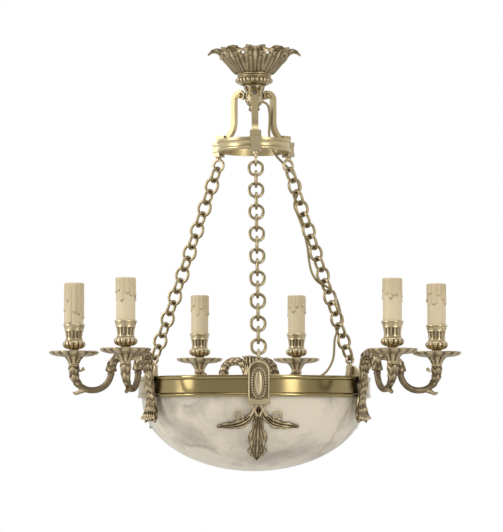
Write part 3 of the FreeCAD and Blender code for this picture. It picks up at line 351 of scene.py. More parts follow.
@dataclass(frozen=True)
class Leaf:
    """A cast acanthus leaf along a middle rib.

    At share u of the rib and share v of the width, a point is rib(u) + side v w(u) pushed
    forward by the lobes' sweep and raised by the ribs; w(u) is the width cut by notches.

    Attributes:
        rib: Points of the middle rib, from the root to the tip.
        side: The direction of the leaf's width.
        widths: Half widths at even steps from the root to the tip.
        lobes: How many lobes each edge has.
        notch: The share of the width that a notch takes.
        sweep: How far a lobe's edge leans towards the tip, as a share of the half width.
        cup: How far the edges fall behind the rib, as a share of the half width.
        relief: The height of the ribs.
        thick: The thickness at the middle rib.
        front: Which way the shown side looks, roughly.
        plain: The share of the length, from the root, that has no lobes.
        fan: How many lengthwise ridges each half has.
        fan_relief: The height of those ridges.
        fine: Rows along and columns across.
    """

    rib: Sequence[Sequence[float]]
    side: Sequence[float]
    widths: Sequence[float]
    lobes: float = 4.0
    notch: float = 0.35
    sweep: float = 0.35
    cup: float = 0.2
    relief: float = 1.1
    thick: float = 2.4
    front: Sequence[float] = (1.0, 0.0, 0.0)
    plain: float = 0.03
    fan: float = 0.0
    fan_relief: float = 0.5
    fine: tuple[int, int] = (64, 25)

    def shell(self) -> Shell:
        """Works the leaf out as one closed piece."""
        rows, columns = self.fine
        u = np.linspace(0, 1, rows)
        rib = through(self.rib, rows)
        tangent = tangents(rib)
        side = np.asarray(self.side, float)
        side = side / np.linalg.norm(side)
        normal = np.cross(tangent, side)
        normal /= np.linalg.norm(normal, axis=1, keepdims=True)
        if float((normal @ np.asarray(self.front, float)).sum()) < 0:
            normal = -normal
        even = 50.0  # so long a run that the widths stay at even steps along it
        half = through(np.stack([np.linspace(0, 1, len(self.widths)) * even,
                                 np.asarray(self.widths, float)], axis=1), rows)[:, 1]
        half = np.maximum(half, 0.25)
        lobe = np.abs(np.sin(math.pi * self.lobes * u)) ** 0.55
        fade = smooth_step(self.plain, self.plain + 0.13, u)
        cut = 1 - self.notch * (1 - lobe) * fade
        v = np.linspace(-1, 1, columns)[None, :]
        w = (half * cut)[:, None]
        across = np.abs(v)
        forward = self.sweep * half[:, None] * across**1.6 * smooth_step(0, 0.25, u)[:, None]
        small = np.cos(2 * math.pi * (self.lobes * 2 * u[:, None] + 1.2 * across))
        ridge = self.relief * (across * (lobe[:, None] - 0.45) + 0.25 * small * across
                               + 0.9 * np.exp(-((v / 0.14) ** 2))
                               - 0.45 * np.exp(-(((across - 0.3) / 0.1) ** 2)))
        fanned = self.fan_relief * smooth_step(0.0, 0.1, u)[:, None] * (
            np.cos(2 * math.pi * self.fan * across**0.9) - 0.3) if self.fan else 0 * ridge
        ridge = ridge * fade[:, None] + fanned
        lift = ridge - self.cup * half[:, None] * across**2
        front = (rib[:, None, :] + (w * v)[..., None] * side
                 + forward[..., None] * tangent[:, None, :] + lift[..., None] * normal[:, None, :])
        body = self.thick * (1 - 0.6 * across**3) * np.ones_like(w)
        back = front - (body + 0.6 * ridge)[..., None] * normal[:, None, :]
        # Low parts of ribs and lobes darken the colour: patina and painted shade in the leaf's
        # hollows.
        recess = np.clip(0.5 - 0.6 * ridge / max(self.relief, self.fan_relief), 0, 1)
        return thick_sheet(front, back, recess)


# ------------------------------------------------------------------ finishes


@dataclass(frozen=True)
class Metal:
    """Aged cast metal: three tones, broken by cloudy patina; crests rubbed light, hollows darkened
    by patina and by painted shade in recesses and corners.

    Attributes:
        name: The material's name.
        crest: The colour of rubbed crests, linear.
        body: The colour of plain surfaces, linear.
        hollow: The colour of hollows, linear: patina and painted shade.
        smooth: The roughness on crests.
        dull: The roughness in hollows.
        grain: Noise scale, in 1 / m.
        bite: The strength of the fine bump.
        painted_shade_reach: How far away a neighbour casts the painted corner shade, in metres.
        recess_share: How much the recess attribute, patina and painted shade, counts as a hollow.
        painted_shade_share: How much the painted corner shade of ambient occlusion counts as a
            hollow.
        clouding: How much the broad noise shifts the tone.
        mottling: How much the fine noise shifts it.
    """

    name: str
    crest: Triple
    body: Triple
    hollow: Triple
    smooth: float = 0.26
    dull: float = 0.6
    grain: float = 160.0
    bite: float = 0.25
    painted_shade_reach: float = 0.006
    recess_share: float = 0.9
    painted_shade_share: float = 0.75
    clouding: float = 0.55
    mottling: float = 0.35

    def material(self) -> bpy.types.Material:
        """Builds the node tree, on Object coordinates, the recess attribute and ambient occlusion,
        which paint shade into hollows and corners.
        """
        web = Web(self.name)
        where = web.node("ShaderNodeTexCoord").outputs["Object"]
        patina = web.noise(where, self.grain, 4.0, 0.6)
        cloud = web.noise(where, self.grain * 0.22, 3.0, 0.5)
        recess = web.node("ShaderNodeAttribute")
        recess.attribute_name = "recess"
        # Ambient occlusion darkens corners and creases: painted corner shade.
        shade = web.node("ShaderNodeAmbientOcclusion")
        shade.samples = 6
        shade.inputs["Distance"].default_value = self.painted_shade_reach
        dark = web.ramp(shade.outputs["AO"], [(0.35, (1, 1, 1)), (0.9, (0, 0, 0))])
        # The hollows' share: the recess attribute, patina and painted shade, or the painted corner
        # shade, whichever is more.
        hollow = web.math("MAXIMUM",
                          web.math("MULTIPLY", recess.outputs["Fac"], self.recess_share),
                          web.math("MULTIPLY", web.grey(dark), self.painted_shade_share))
        for noise, amount in ((cloud, self.clouding), (patina, self.mottling)):
            hollow = web.math("ADD", hollow, web.math(
                "MULTIPLY", web.math("SUBTRACT", noise, 0.5), amount))
        tone = web.ramp(hollow, [(0.08, self.crest), (0.42, self.body), (0.95, self.hollow)])
        rough = web.node("ShaderNodeMapRange")
        web.link(hollow, rough.inputs["Value"])
        rough.inputs["To Min"].default_value = self.smooth
        rough.inputs["To Max"].default_value = self.dull
        web.link(tone, web.shader.inputs["Base Color"])
        web.link(rough.outputs["Result"], web.shader.inputs["Roughness"])
        web.shader.inputs["Metallic"].default_value = 1.0
        web.bump(web.noise(where, self.grain * 5, 3.0, 0.6), self.bite, 0.0004)
        return web.material


@dataclass(frozen=True)
class Stone:
    """Alabaster: milky, with soft smoky clouds, fine grey veins and one tan vein.

    Attributes:
        name: The material's name.
        milk: The colour of the clear stone, linear.
        smoke: The colour of its clouds.
        vein: The colour of the fine veins.
        tan: The colour of the tan vein.
        cloud_scale: Noise scale of the clouds, in 1 / m.
        vein_scale: Noise scale of the fine veins, in 1 / m.
        warp: How far the pattern is bent, in metres.
        smokiness: The clouds' share at their darkest.
        tan_square: The direction square to the tan vein.
        tan_at: Where the tan vein lies along that direction, in metres.
        tan_share: How strong the tan vein is.
    """

    name: str = "alabaster"
    milk: Triple = (0.78, 0.72, 0.60)
    smoke: Triple = (0.30, 0.265, 0.22)
    vein: Triple = (0.24, 0.215, 0.19)
    tan: Triple = (0.45, 0.32, 0.17)
    cloud_scale: float = 11.0
    vein_scale: float = 7.0
    warp: float = 0.07
    smokiness: float = 0.66
    tan_square: Triple = (1.0, 0.1, -0.62)
    tan_at: float = 0.475
    tan_share: float = 0.55

    def material(self) -> bpy.types.Material:
        """Builds the node tree on Object coordinates."""
        web = Web(self.name)
        where = web.node("ShaderNodeTexCoord").outputs["Object"]
        warp = web.noise(where, 9.0, 4.0, 0.55, colour=True)
        push = web.node("ShaderNodeVectorMath")
        push.operation = "MULTIPLY_ADD"
        web.link(warp, push.inputs[0])
        push.inputs[1].default_value = (self.warp,) * 3
        web.link(where, push.inputs[2])
        bent = push.outputs["Vector"]
        cloud = web.noise(bent, self.cloud_scale, 5.0, 0.6)
        clouds = web.ramp(cloud, [(0.46, (0, 0, 0)), (0.66, (1, 1, 1))])
        line = web.noise(bent, self.vein_scale, 3.0, 0.45)
        veins = web.ramp(line, [(0.478, (0, 0, 0)), (0.5, (1, 1, 1)), (0.522, (0, 0, 0))])
        cloudy = web.math("MULTIPLY", web.grey(clouds), self.smokiness)
        colour = web.mix(cloudy, self.milk, self.smoke)
        colour = web.mix(web.math("MULTIPLY", web.grey(veins), web.math(
            "MULTIPLY", web.grey(clouds), 0.7)), colour, self.vein)
        slope = web.node("ShaderNodeVectorMath")
        slope.operation = "DOT_PRODUCT"
        web.link(bent, slope.inputs[0])
        slope.inputs[1].default_value = self.tan_square
        off = web.math("ABSOLUTE", web.math("SUBTRACT", slope.outputs["Value"], self.tan_at))
        band = web.ramp(off, [(0.0, (1, 1, 1)), (0.0016, (1, 1, 1)), (0.004, (0, 0, 0))])
        colour = web.mix(web.math("MULTIPLY", web.grey(band), self.tan_share), colour, self.tan)
        web.link(colour, web.shader.inputs["Base Color"])
        web.shader.inputs["Roughness"].default_value = 0.32
        web.shader.inputs["Subsurface Weight"].default_value = 0.35
        web.shader.inputs["Subsurface Radius"].default_value = (1.0, 0.8, 0.55)
        web.shader.inputs["Subsurface Scale"].default_value = 0.012
        web.bump(web.noise(where, 420.0, 2.0, 0.5), 0.06, 0.0003)
        return web.material


@dataclass(frozen=True)
class Wax:
    """Ivory card under wax runs; brown darkening along the runs' edges, under their ends and
    inside the tube, broken by noise.
    """

    name: str = "candle_wax"
    card: Triple = (0.71, 0.60, 0.41)
    run: Triple = (0.64, 0.535, 0.35)
    edge_brown: Triple = (0.27, 0.17, 0.09)

    def material(self) -> bpy.types.Material:
        """Builds the node tree on Object coordinates and the sleeve's attributes."""
        web = Web(self.name)
        where = web.node("ShaderNodeTexCoord").outputs["Object"]
        wax = web.node("ShaderNodeAttribute")
        wax.attribute_name = "wax"
        edge = web.node("ShaderNodeAttribute")
        edge.attribute_name = "recess"
        cloud = web.noise(where, 90.0, 4.0, 0.6)
        colour = web.mix(wax.outputs["Fac"], self.card, self.run)
        # Brown darkening by the edge attribute, broken by noise.
        edge_darkening = web.math("MULTIPLY", edge.outputs["Fac"], web.grey(
            web.ramp(cloud, [(0.36, (0.25, 0.25, 0.25)), (0.62, (1, 1, 1))])))
        colour = web.mix(web.math("MULTIPLY", edge_darkening, 0.85), colour, self.edge_brown)
        web.link(colour, web.shader.inputs["Base Color"])
        web.shader.inputs["Roughness"].default_value = 0.5
        web.shader.inputs["Subsurface Weight"].default_value = 0.12
        web.shader.inputs["Subsurface Scale"].default_value = 0.003
        web.bump(web.noise(where, 900.0, 2.0, 0.5), 0.1, 0.0003)
        return web.material


@dataclass(frozen=True)
class Moulded:
    """A plain moulded or sheathed finish with faint mottling."""

    name: str
    colour: Triple
    rough: float = 0.45
    metal: float = 0.0

    def material(self) -> bpy.types.Material:
        """Builds the node tree on Object coordinates."""
        web = Web(self.name)
        where = web.node("ShaderNodeTexCoord").outputs["Object"]
        cloud = web.noise(where, 300.0, 3.0, 0.6)
        dim = tuple(0.62 * c for c in self.colour)
        web.link(web.mix(cloud, self.colour, dim), web.shader.inputs["Base Color"])
        web.shader.inputs["Roughness"].default_value = self.rough
        web.shader.inputs["Metallic"].default_value = self.metal
        web.bump(web.noise(where, 1500.0, 2.0, 0.5), 0.15, 0.0002)
        return web.material


class Nodes:
    """A node tree, with short calls for the nodes used here."""

    def __init__(self, tree: bpy.types.NodeTree) -> None:
        """Takes over a tree and empties it."""
        self.tree = tree
        self.tree.nodes.clear()

    def node(self, kind: str) -> bpy.types.Node:
        """Adds a node of a kind."""
        return self.tree.nodes.new(kind)

    def link(self, source: object, target: bpy.types.NodeSocket) -> None:
        """Joins a socket to an input, or writes a number or colour into it."""
        if isinstance(source, bpy.types.NodeSocket):
            self.tree.links.new(source, target)
        elif isinstance(source, tuple):
            target.default_value = (*source, 1.0)
        else:
            target.default_value = source

    def math(self, operation: str, *values: object) -> bpy.types.NodeSocket:
        """A Math node on one to three values."""
        node = self.node("ShaderNodeMath")
        node.operation = operation
        for value, socket in zip(values, node.inputs):
            self.link(value, socket)
        return node.outputs[0]

    def noise(self, where: bpy.types.NodeSocket, scale: float, detail: float, rough: float,
              colour: bool = False) -> bpy.types.NodeSocket:
        """A Noise Texture; gives its value, or its colour."""
        node = self.node("ShaderNodeTexNoise")
        self.link(where, node.inputs["Vector"])
        node.inputs["Scale"].default_value = scale
        node.inputs["Detail"].default_value = detail
        node.inputs["Roughness"].default_value = rough
        return node.outputs["Color" if colour else "Fac"]

    def ramp(self, value: bpy.types.NodeSocket,
             stops: Sequence[tuple[float, Triple]]) -> bpy.types.NodeSocket:
        """A Color Ramp with the stops given."""
        node = self.node("ShaderNodeValToRGB")
        self.link(value, node.inputs["Fac"])
        ends = node.color_ramp.elements
        while len(ends) < len(stops):
            ends.new(0.5)
        for end, (place, colour) in zip(ends, stops):
            end.position, end.color = place, (*colour, 1.0)
        return node.outputs["Color"]

    def grey(self, colour: bpy.types.NodeSocket) -> bpy.types.NodeSocket:
        """The brightness of a colour."""
        node = self.node("ShaderNodeRGBToBW")
        self.link(colour, node.inputs["Color"])
        return node.outputs["Val"]

    def mix(self, share: object, first: object, second: object) -> bpy.types.NodeSocket:
        """Mixes two colours by a share."""
        node = self.node("ShaderNodeMix")
        node.data_type = "RGBA"
        self.link(share, node.inputs["Factor"])
        self.link(first, node.inputs[6])
        self.link(second, node.inputs[7])
        return node.outputs[2]

    def mix_shaders(self, share: bpy.types.NodeSocket, first: bpy.types.NodeSocket,
                    second: bpy.types.NodeSocket) -> bpy.types.NodeSocket:
        """Mixes two shaders by a share."""
        node = self.node("ShaderNodeMixShader")
        for source, socket in zip((share, first, second), node.inputs):
            self.link(source, socket)
        return node.outputs["Shader"]


class Web(Nodes):
    """A material's node tree round one Principled shader."""

    def __init__(self, name: str) -> None:
        """Starts the material."""
        self.material = bpy.data.materials.new(name)
        self.material.use_nodes = True
        super().__init__(self.material.node_tree)
        self.shader = self.node("ShaderNodeBsdfPrincipled")
        self.out = self.node("ShaderNodeOutputMaterial")
        self.link(self.shader.outputs["BSDF"], self.out.inputs["Surface"])

    def bump(self, height: bpy.types.NodeSocket, strength: float, distance: float) -> None:
        """Feeds the shader's normal from a height."""
        node = self.node("ShaderNodeBump")
        self.link(height, node.inputs["Height"])
        node.inputs["Strength"].default_value = strength
        node.inputs["Distance"].default_value = distance
        self.link(node.outputs["Normal"], self.shader.inputs["Normal"])


class Finishes:
    """Every finish of the chandelier, made once, by its slot in the record."""

    GILT = Metal("gilt_bronze", (0.60, 0.50, 0.32), (0.33, 0.262, 0.16), (0.05, 0.033, 0.021),
                 smooth=0.34, dull=0.62, bite=0.14)
    POLISHED = Metal("polished_bronze", (0.36, 0.285, 0.135), (0.235, 0.182, 0.09),
                     (0.07, 0.05, 0.027), smooth=0.2, dull=0.36, grain=45.0, bite=0.04)
    SATIN = Metal("satin_bronze", (0.58, 0.48, 0.28), (0.46, 0.375, 0.21), (0.12, 0.088, 0.05),
                  smooth=0.36, dull=0.55, grain=45.0, bite=0.05)
    CHAIN = Metal("chain_brass", (0.42, 0.345, 0.20), (0.26, 0.205, 0.118),
                  (0.05, 0.036, 0.021), smooth=0.3, dull=0.55, grain=120.0, bite=0.1)

    def __init__(self) -> None:
        """Builds the materials."""
        self.satin = self.SATIN.material()
        self.by_slot = {
            Slot.GILT: self.GILT.material(),
            Slot.POLISHED: self.POLISHED.material(),
            Slot.CHAIN: self.CHAIN.material(),
            Slot.PLAIN: Metal("plain_brass", (0.6, 0.48, 0.25), (0.45, 0.36, 0.18),
                              (0.12, 0.09, 0.05)).material(),
            Slot.STEEL: Moulded("screw_steel", (0.42, 0.38, 0.3), 0.35, 1.0).material(),
            Slot.ALABASTER: Stone().material(),
            Slot.CANDLE: Wax().material(),
            Slot.HOLDER: Moulded("lampholder", (0.05, 0.042, 0.035)).material(),
            Slot.CABLE: Moulded("cable_sheath", (0.42, 0.33, 0.15), 0.4).material(),
        }

    def of(self, slot: Slot) -> bpy.types.Material:
        """The material of a slot."""
        return self.by_slot[slot]


# ------------------------------------------------------------------ making pieces


@dataclass
class Workshop:
    """Turns shells into Blender pieces in the frame's metres and dresses them."""

    finishes: Finishes

    def piece(self, name: str, shell: Shell, body: Body | str | None, slot: Slot,
              replaces: Sequence[str] = (),
              extra: Optional[dict[str, np.ndarray]] = None) -> bpy.types.Object:
        """Makes one piece, its doubles merged and its faces turned outwards.

        Args:
            name: The piece's name.
            shell: Its surface, in millimetres above the band's foot.
            body: The body that it rides on, or its name, or None for a piece on no body.
            slot: The slot of its finish.
            replaces: The nodes that it stands for.
            extra: More attributes by name.

        Returns:
            The object, at the origin.
        """
        mesh = bpy.data.meshes.new(name)
        points = shell.points * MM + np.array([0.0, 0.0, RING_FOOT_LEVEL])
        mesh.from_pydata(points.tolist(), [], shell.faces.tolist())
        values = {"recess": shell.recess, **(extra or {})}
        for key, value in values.items():
            attribute = mesh.attributes.new(key, "FLOAT", "POINT")
            attribute.data.foreach_set("value", np.asarray(value, np.float32))
        work = bmesh.new()
        work.from_mesh(mesh)
        bmesh.ops.remove_doubles(work, verts=work.verts, dist=MERGE_WITHIN)
        bmesh.ops.recalc_face_normals(work, faces=work.faces)
        work.to_mesh(mesh)
        work.free()
        mesh.shade_smooth()
        mesh.set_sharp_from_angle(angle=SHARP_EDGE)
        mesh.materials.append(self.finishes.of(slot))
        made = bpy.data.objects.new(name, mesh)
        bpy.context.scene.collection.objects.link(made)
        carrier = body.value if isinstance(body, Body) else body
        if carrier is not None:
            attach(made, carrier)
        if replaces:
            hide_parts(*replaces)
        LOG.info("%s: %d faces on %s", name, len(mesh.polygons), carrier)
        return made

    def dress(self, node: str, slot: Slot) -> None:
        """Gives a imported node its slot's finish; the upper polished pieces are satin."""
        target = frame["nodes"][node]
        satin = node.startswith("scroll_arm") or node in ("top_ring", "hanging_loop")
        if not target.material_slots:
            target.data.materials.append(None)
        for each in target.material_slots:
            each.material = self.finishes.satin if satin else self.finishes.of(slot)


def at_station(shell: Shell, station: float) -> Shell:
    """Turns a shell made on the +X side to its station."""
    return shell.turned(station - 90.0)


def candles() -> list[tuple[str, float, float]]:
    """The six candles' names, stations and sides, bracket by bracket."""
    return [(f"{place}_{letter}", station, side)
            for place, station in BRACKET_STATIONS.items()
            for letter, side in ARM_SIDES.items()]


def candle_place(station: float, side: float) -> tuple[float, float]:
    """Where a candle stands, in millimetres from the vertical axis."""
    a = math.radians(station - 90.0)
    reach, spread = CandleArm.REACH_R, side * CandleArm.SPREAD
    return reach * math.cos(a) - spread * math.sin(a), reach * math.sin(a) + spread * math.cos(a)


# ------------------------------------------------------------------ crown, collar, neck


@dataclass
class Crown:
    """The flared crown of eight acanthus leaves with the parts on the stem below it.

    Attributes:
        shop: Makes the pieces.
        floor: The height of the crown's foot.
        base_r: The crown's radius at its foot.
        tip_r: The radius that the leaves' tips reach.
        leaves: How many leaves there are.
        stem_r: The radius of the stem that the parts are bored for.
        scroll_eye: The middle of a scroll's eye: out, aside, height.
        eye_r: The radius of the knob in it.
    """

    shop: Workshop
    floor: float = 487.0
    base_r: float = 24.7
    tip_r: float = 70.0
    leaves: int = 8
    stem_r: float = 5.0
    scroll_eye: Triple = (20.2, 4.6, 457.0)
    eye_r: float = 4.6

    def build(self) -> None:
        """Makes the crown, the collar, the neck and the finial."""
        self.crown()
        self.collar()
        self.neck()
        self.finial()
        self.scroll_eyes()

    def crown(self) -> None:
        """Leaves that rise, spread and curl over, on a dish with two rounded rings."""
        f, b = self.floor, self.base_r
        rib = [(b - 1.2, 0, f + 1.0), (b + 3.8, 0, f + 1.5), (b + 8.5, 0, f + 5.5),
               (b + 13.5, 0, f + 11.5), (b + 19, 0, f + 18), (b + 24, 0, f + 24.5),
               (b + 27.5, 0, f + 30), (b + 32, 0, f + 33.5), (b + 38, 0, f + 34),
               (self.tip_r - 0.5, 0, f + 30)]
        leaf = Leaf(rib, (0, 1, 0), (11.5, 14.0, 15.0, 15.5, 16.5, 18.5, 20.5, 18.0, 10.0, 1.0),
                    lobes=6, notch=0.3, sweep=0.3, cup=0.26, relief=1.1, thick=2.0,
                    front=(0.6, 0, -0.8), plain=0.4, fan=2.5, fan_relief=0.42,
                    fine=(96, 49)).shell()
        shells = [at_station(leaf, k * 360.0 / self.leaves) for k in range(self.leaves)]
        hub = self.stem_r + BOLT_GAP
        dish = [(hub, f), (b - 0.4, f)]
        dish += [(b + 1.1 * math.sin(t), f + 1.9 - 1.9 * math.cos(t))
                 for t in np.linspace(0.3, math.pi - 0.3, 7)]
        dish += [(b - 0.6 + 1.2 * math.sin(t), f + 5.4 - 1.6 * math.cos(t))
                 for t in np.linspace(0.3, math.pi - 0.2, 7)]
        dish += [(b - 3.0, f + 7.2), (b - 4.0, f + 3.0), (hub, f + 3.0)]
        shells.append(lathed(dish, 72))
        self.shop.piece("crown_leaves", Shell.joined(shells), Body.CEILING, Slot.GILT, ["crown"])

    def scroll_eyes(self) -> None:
        """A round knob on each side of each scroll's inner end."""
        out, aside, height = self.scroll_eye
        knobs = [at_station(beads(np.array([(out, side * aside, height)]), self.eye_r), station)
                 for station in CHAIN_STATIONS.values() for side in ARM_SIDES.values()]
        self.shop.piece("scroll_eyes", Shell.joined(knobs), Body.CEILING, Slot.POLISHED)

    def collar(self) -> None:
        """A bellied collar with upright gadroons."""
        foot, top, hub = self.floor - 15.4, self.floor, self.stem_r + BOLT_GAP
        rim = through([(17.9, foot), (25.2, foot + 2.8), (28.2, foot + 6.4), (27.2, foot + 9.6),
                       (24.2, foot + 11.6), (24.9, foot + 12.6), (26.0, foot + 13.9),
                       (24.7, top)], 44)

        def gadroons(angle: np.ndarray, r: np.ndarray, z: np.ndarray) -> Relief:
            """r + a (|cos 13 t|^0.7 - 0.75) between the foot and the fillet."""
            wave = np.abs(np.cos(13 * angle)) ** 0.7
            on = smooth_step(foot + 1.5, foot + 4, z) * (1 - smooth_step(foot + 9, foot + 11, z))
            on = on * smooth_step(hub + 3, hub + 8, r)
            # Darker between the gadroons, and on the underside at the foot: patina and painted
            # shade.
            dark = np.clip(on * (1 - wave) * 1.2, 0, 1)
            return r + 1.5 * on * (wave - 0.75), z, np.maximum(dark, 0.8 * (z < foot + 0.5))

        shell = lathed([(hub, foot)] + rim.tolist() + [(hub, top)], 208, gadroons)
        self.shop.piece("collar_gadroons", shell, Body.CEILING, Slot.GILT, ["crown_collar"])

    def neck(self) -> None:
        """A tapering neck with leaves under its rim and a ring moulding."""
        top, hub = self.floor - 15.4, self.stem_r + BOLT_GAP
        foot = top - 31.6
        side = through([(8.0, foot), (10.8, foot + 3), (12.6, foot + 6), (13.8, foot + 8.5),
                        (12.6, foot + 11), (12.9, foot + 13), (13.0, foot + 22),
                        (15.2, foot + 27), (16.0, foot + 29.5), (15.8, top)], 60)

        def leaves(angle: np.ndarray, r: np.ndarray, z: np.ndarray) -> Relief:
            """Nine upright leaves above the ring and twelve small ones below it."""
            upper = smooth_step(foot + 12, foot + 14, z) * (1 - smooth_step(top - 2.5, top - 1, z))
            lower = 1 - smooth_step(foot + 5.5, foot + 7.5, z)
            wave = np.abs(np.cos(4.5 * angle)) ** 0.6
            small = np.abs(np.cos(6 * angle)) ** 0.6
            ribs = 0.5 + 0.5 * np.cos(27 * angle)
            lift = upper * (1.0 * (wave - 0.7) + 0.25 * ribs) + lower * 0.9 * (small - 0.6)
            # Darker between the leaves, the ribs and the small lower leaves: patina and painted
            # shade.
            dark = np.clip(upper * (1 - wave) * 1.3 + lower * (1 - small) * 1.3
                           + 0.25 * upper * (1 - ribs), 0, 1)
            outside = smooth_step(hub + 1, hub + 2.5, r)
            return r + lift * outside, z, dark * outside

        shell = lathed([(hub, foot)] + side.tolist() + [(hub, top)], 216, leaves)
        self.shop.piece("neck_leaves", shell, Body.CEILING, Slot.GILT, ["scroll_boss"])

    def finial(self) -> None:
        """A drop of overlapping leaves that ends in a small knob."""
        top, hub = self.floor - 47.0, self.stem_r + BOLT_GAP
        tip = top - 13.0
        side = through([(0.0, tip), (3.6, tip + 0.8), (4.6, tip + 2.6), (4.0, tip + 4.2),
                        (7.4, tip + 6.4), (8.6, tip + 8.6), (7.2, tip + 10.6), (8.0, top)], 40)

        def leaves(angle: np.ndarray, r: np.ndarray, z: np.ndarray) -> Relief:
            """Six lobes round the bulge: r + a (|cos 3 t|^0.6 - 0.7)."""
            on = smooth_step(tip + 3.5, tip + 6, z) * (1 - smooth_step(top - 2, top - 0.5, z))
            wave = np.abs(np.cos(3 * angle)) ** 0.6
            # Darker between the lobes: patina and painted shade.
            return r + 1.3 * on * (wave - 0.7), z, np.clip(on * (1 - wave) * 1.4, 0, 1)

        inner = [(hub, top), (hub, tip + 4.7), (0.0, tip + 4.7)]
        shell = lathed(side.tolist() + inner, 120, leaves, closed=False)
        self.shop.piece("finial_leaves", shell, Body.CEILING, Slot.GILT, ["foliate_finial"])


# ------------------------------------------------------------------ candle lights


@dataclass
class CandleArm:
    """One curved arm: leaf-wrapped hump, knuckle, smooth dip, leaf-wrapped stem.

    REACH_R and SPREAD place the candle, out and aside of its bracket; ROOT_R is where the
    arm's middle line starts and BOSS_R the bracket boss's face.

    Attributes:
        shop: Makes the pieces.
        tube_r: The radius of the smooth part.
        hump_r: The radius of the hump.
        knuckle_r: The radius at the knuckle that ends the hump's leaves.
        stem_r: The radius under the calyx.
        dip: The height of the lowest run.
        top: The height of the stem's end.
        root_height: The height at the root.
        hump_top: The height of the hump.
        hump_start: How far out the hump's level run starts.
        fall: How far out the arm falls plumb.
        knuckle_height: The height of the knuckle.
        boss_hold: How deep the root lies in the boss.
        half_gap: Half the gap between a bracket's two arms.
    """

    REACH_R = RING_R + 89.5
    SPREAD = 77.5
    ROOT_R = RING_R + 3.0
    BOSS_R = RING_R + SEAT_GAP + 9.0

    shop: Workshop
    tube_r: float = 4.7
    hump_r: float = 6.0
    knuckle_r: float = 8.0
    stem_r: float = 8.5
    dip: float = 10.5
    top: float = 46.0
    root_height: float = 30.0
    hump_top: float = 61.0
    hump_start: float = 17.3
    fall: float = 60.0
    knuckle_height: float = 38.3
    boss_hold: float = 5.5
    half_gap: float = 0.15

    def in_its_plane(self) -> Shell:
        """The arm along +X from its root, in the XZ plane."""
        long = math.hypot(self.REACH_R - self.ROOT_R, self.SPREAD)
        corners = [(0, 0, self.root_height), (self.hump_start, 0, self.hump_top),
                   (self.fall, 0, self.hump_top), (self.fall, 0, self.dip), (long, 0, self.dip),
                   (long, 0, self.top)]
        path = rounded(corners, (20, 20, 27, 27), 0.6)
        run = run_along(path)
        total = run[-1]
        near = np.hypot(path[:, 0] - self.fall, path[:, 2] - self.knuckle_height)
        knuckle = run[int(np.argmin(near))]
        stem = total - 27.0
        flare = (self.knuckle_r - self.hump_r) * smooth_step(knuckle - 13, knuckle - 1, run)
        on_hump = 1 - smooth_step(knuckle - 0.5, knuckle + 2.0, run)
        bead = 1.0 * np.exp(-(((run - knuckle - 4.2) / 1.3) ** 2))
        rise = smooth_step(stem - 8, total - 3, run)
        radius = (self.tube_r + on_hump * (self.hump_r + flare - self.tube_r) + bead
                  + rise * (self.stem_r - 0.9 - self.tube_r))

        def leaves(share: np.ndarray, angle: np.ndarray) -> np.ndarray:
            """Overlapping leaves: each row swells along s, then steps in, with fine ribs."""
            s = share * total
            tongue = 2.6 * np.cos(4 * angle)
            humped = 1 - smooth_step(knuckle - 2.5, knuckle - 0.5, s - tongue)
            risen = smooth_step(stem - 1, stem + 1, s + 1.5 * tongue)
            row = np.mod((s - 0.8 * tongue) / 11.5, 1.0)
            swell = np.where(row < 0.82, row / 0.82, (1 - row) / 0.18)
            ribs = np.abs(np.cos(4 * angle + math.pi * np.floor((s - 0.8 * tongue) / 11.5))) ** 0.6
            fine = 0.5 + 0.5 * np.cos(16 * angle)
            leafy = 1.3 * (swell - 0.5) + 0.9 * (ribs - 0.6) + 0.3 * fine
            return (humped + risen) * leafy

        bar = swept(path, radius, (0, 1, 0), 40, leaves)
        neck_path = through([(long - 6.5, 0, self.top - 6.5), (long - 10, 0, self.top - 7.2),
                             (long - 13.2, 0, self.top - 5.5)], 14)
        neck = swept(neck_path, np.linspace(2.0, 1.5, 14), (0, 1, 0), 14)
        knob = beads(np.array([(long - 13.8, 0, self.top - 4.6)]), 2.9)
        spur_path = through([(long - 17, 0, self.dip + 1.5), (long - 9, 0, self.dip - 2.0),
                             (long - 2, 0, self.dip - 4.6), (long + 1.2, 0, self.dip - 2.6)], 30)
        spur = swept(spur_path, 0.8 + 3.6 * (1 - np.linspace(0, 1, 30)) ** 0.6, (0, 1, 0), 18,
                     lambda share, angle: 0.7 * (np.abs(np.cos(2.5 * angle)) - 0.6) * (1 - share))
        return Shell.joined([bar, neck, knob, spur])

    def build(self) -> None:
        """Makes the six arms, cut flat inside their boss and at the bracket's middle."""
        lean = math.degrees(math.atan2(self.SPREAD, self.REACH_R - self.ROOT_R))
        arm = self.in_its_plane()
        for name, station, side in candles():
            shell = arm.turned(side * lean).moved(self.ROOT_R)
            out, aside, _ = shell.points.T
            out[:] = np.maximum(out, self.BOSS_R - self.boss_hold)
            aside[:] = side * np.maximum(side * aside, self.half_gap)
            self.shop.piece(f"arm_leafwork_{name}", at_station(shell, station), Body.BOWL_FRAME,
                            Slot.GILT, [f"candle_arm_{name}"])


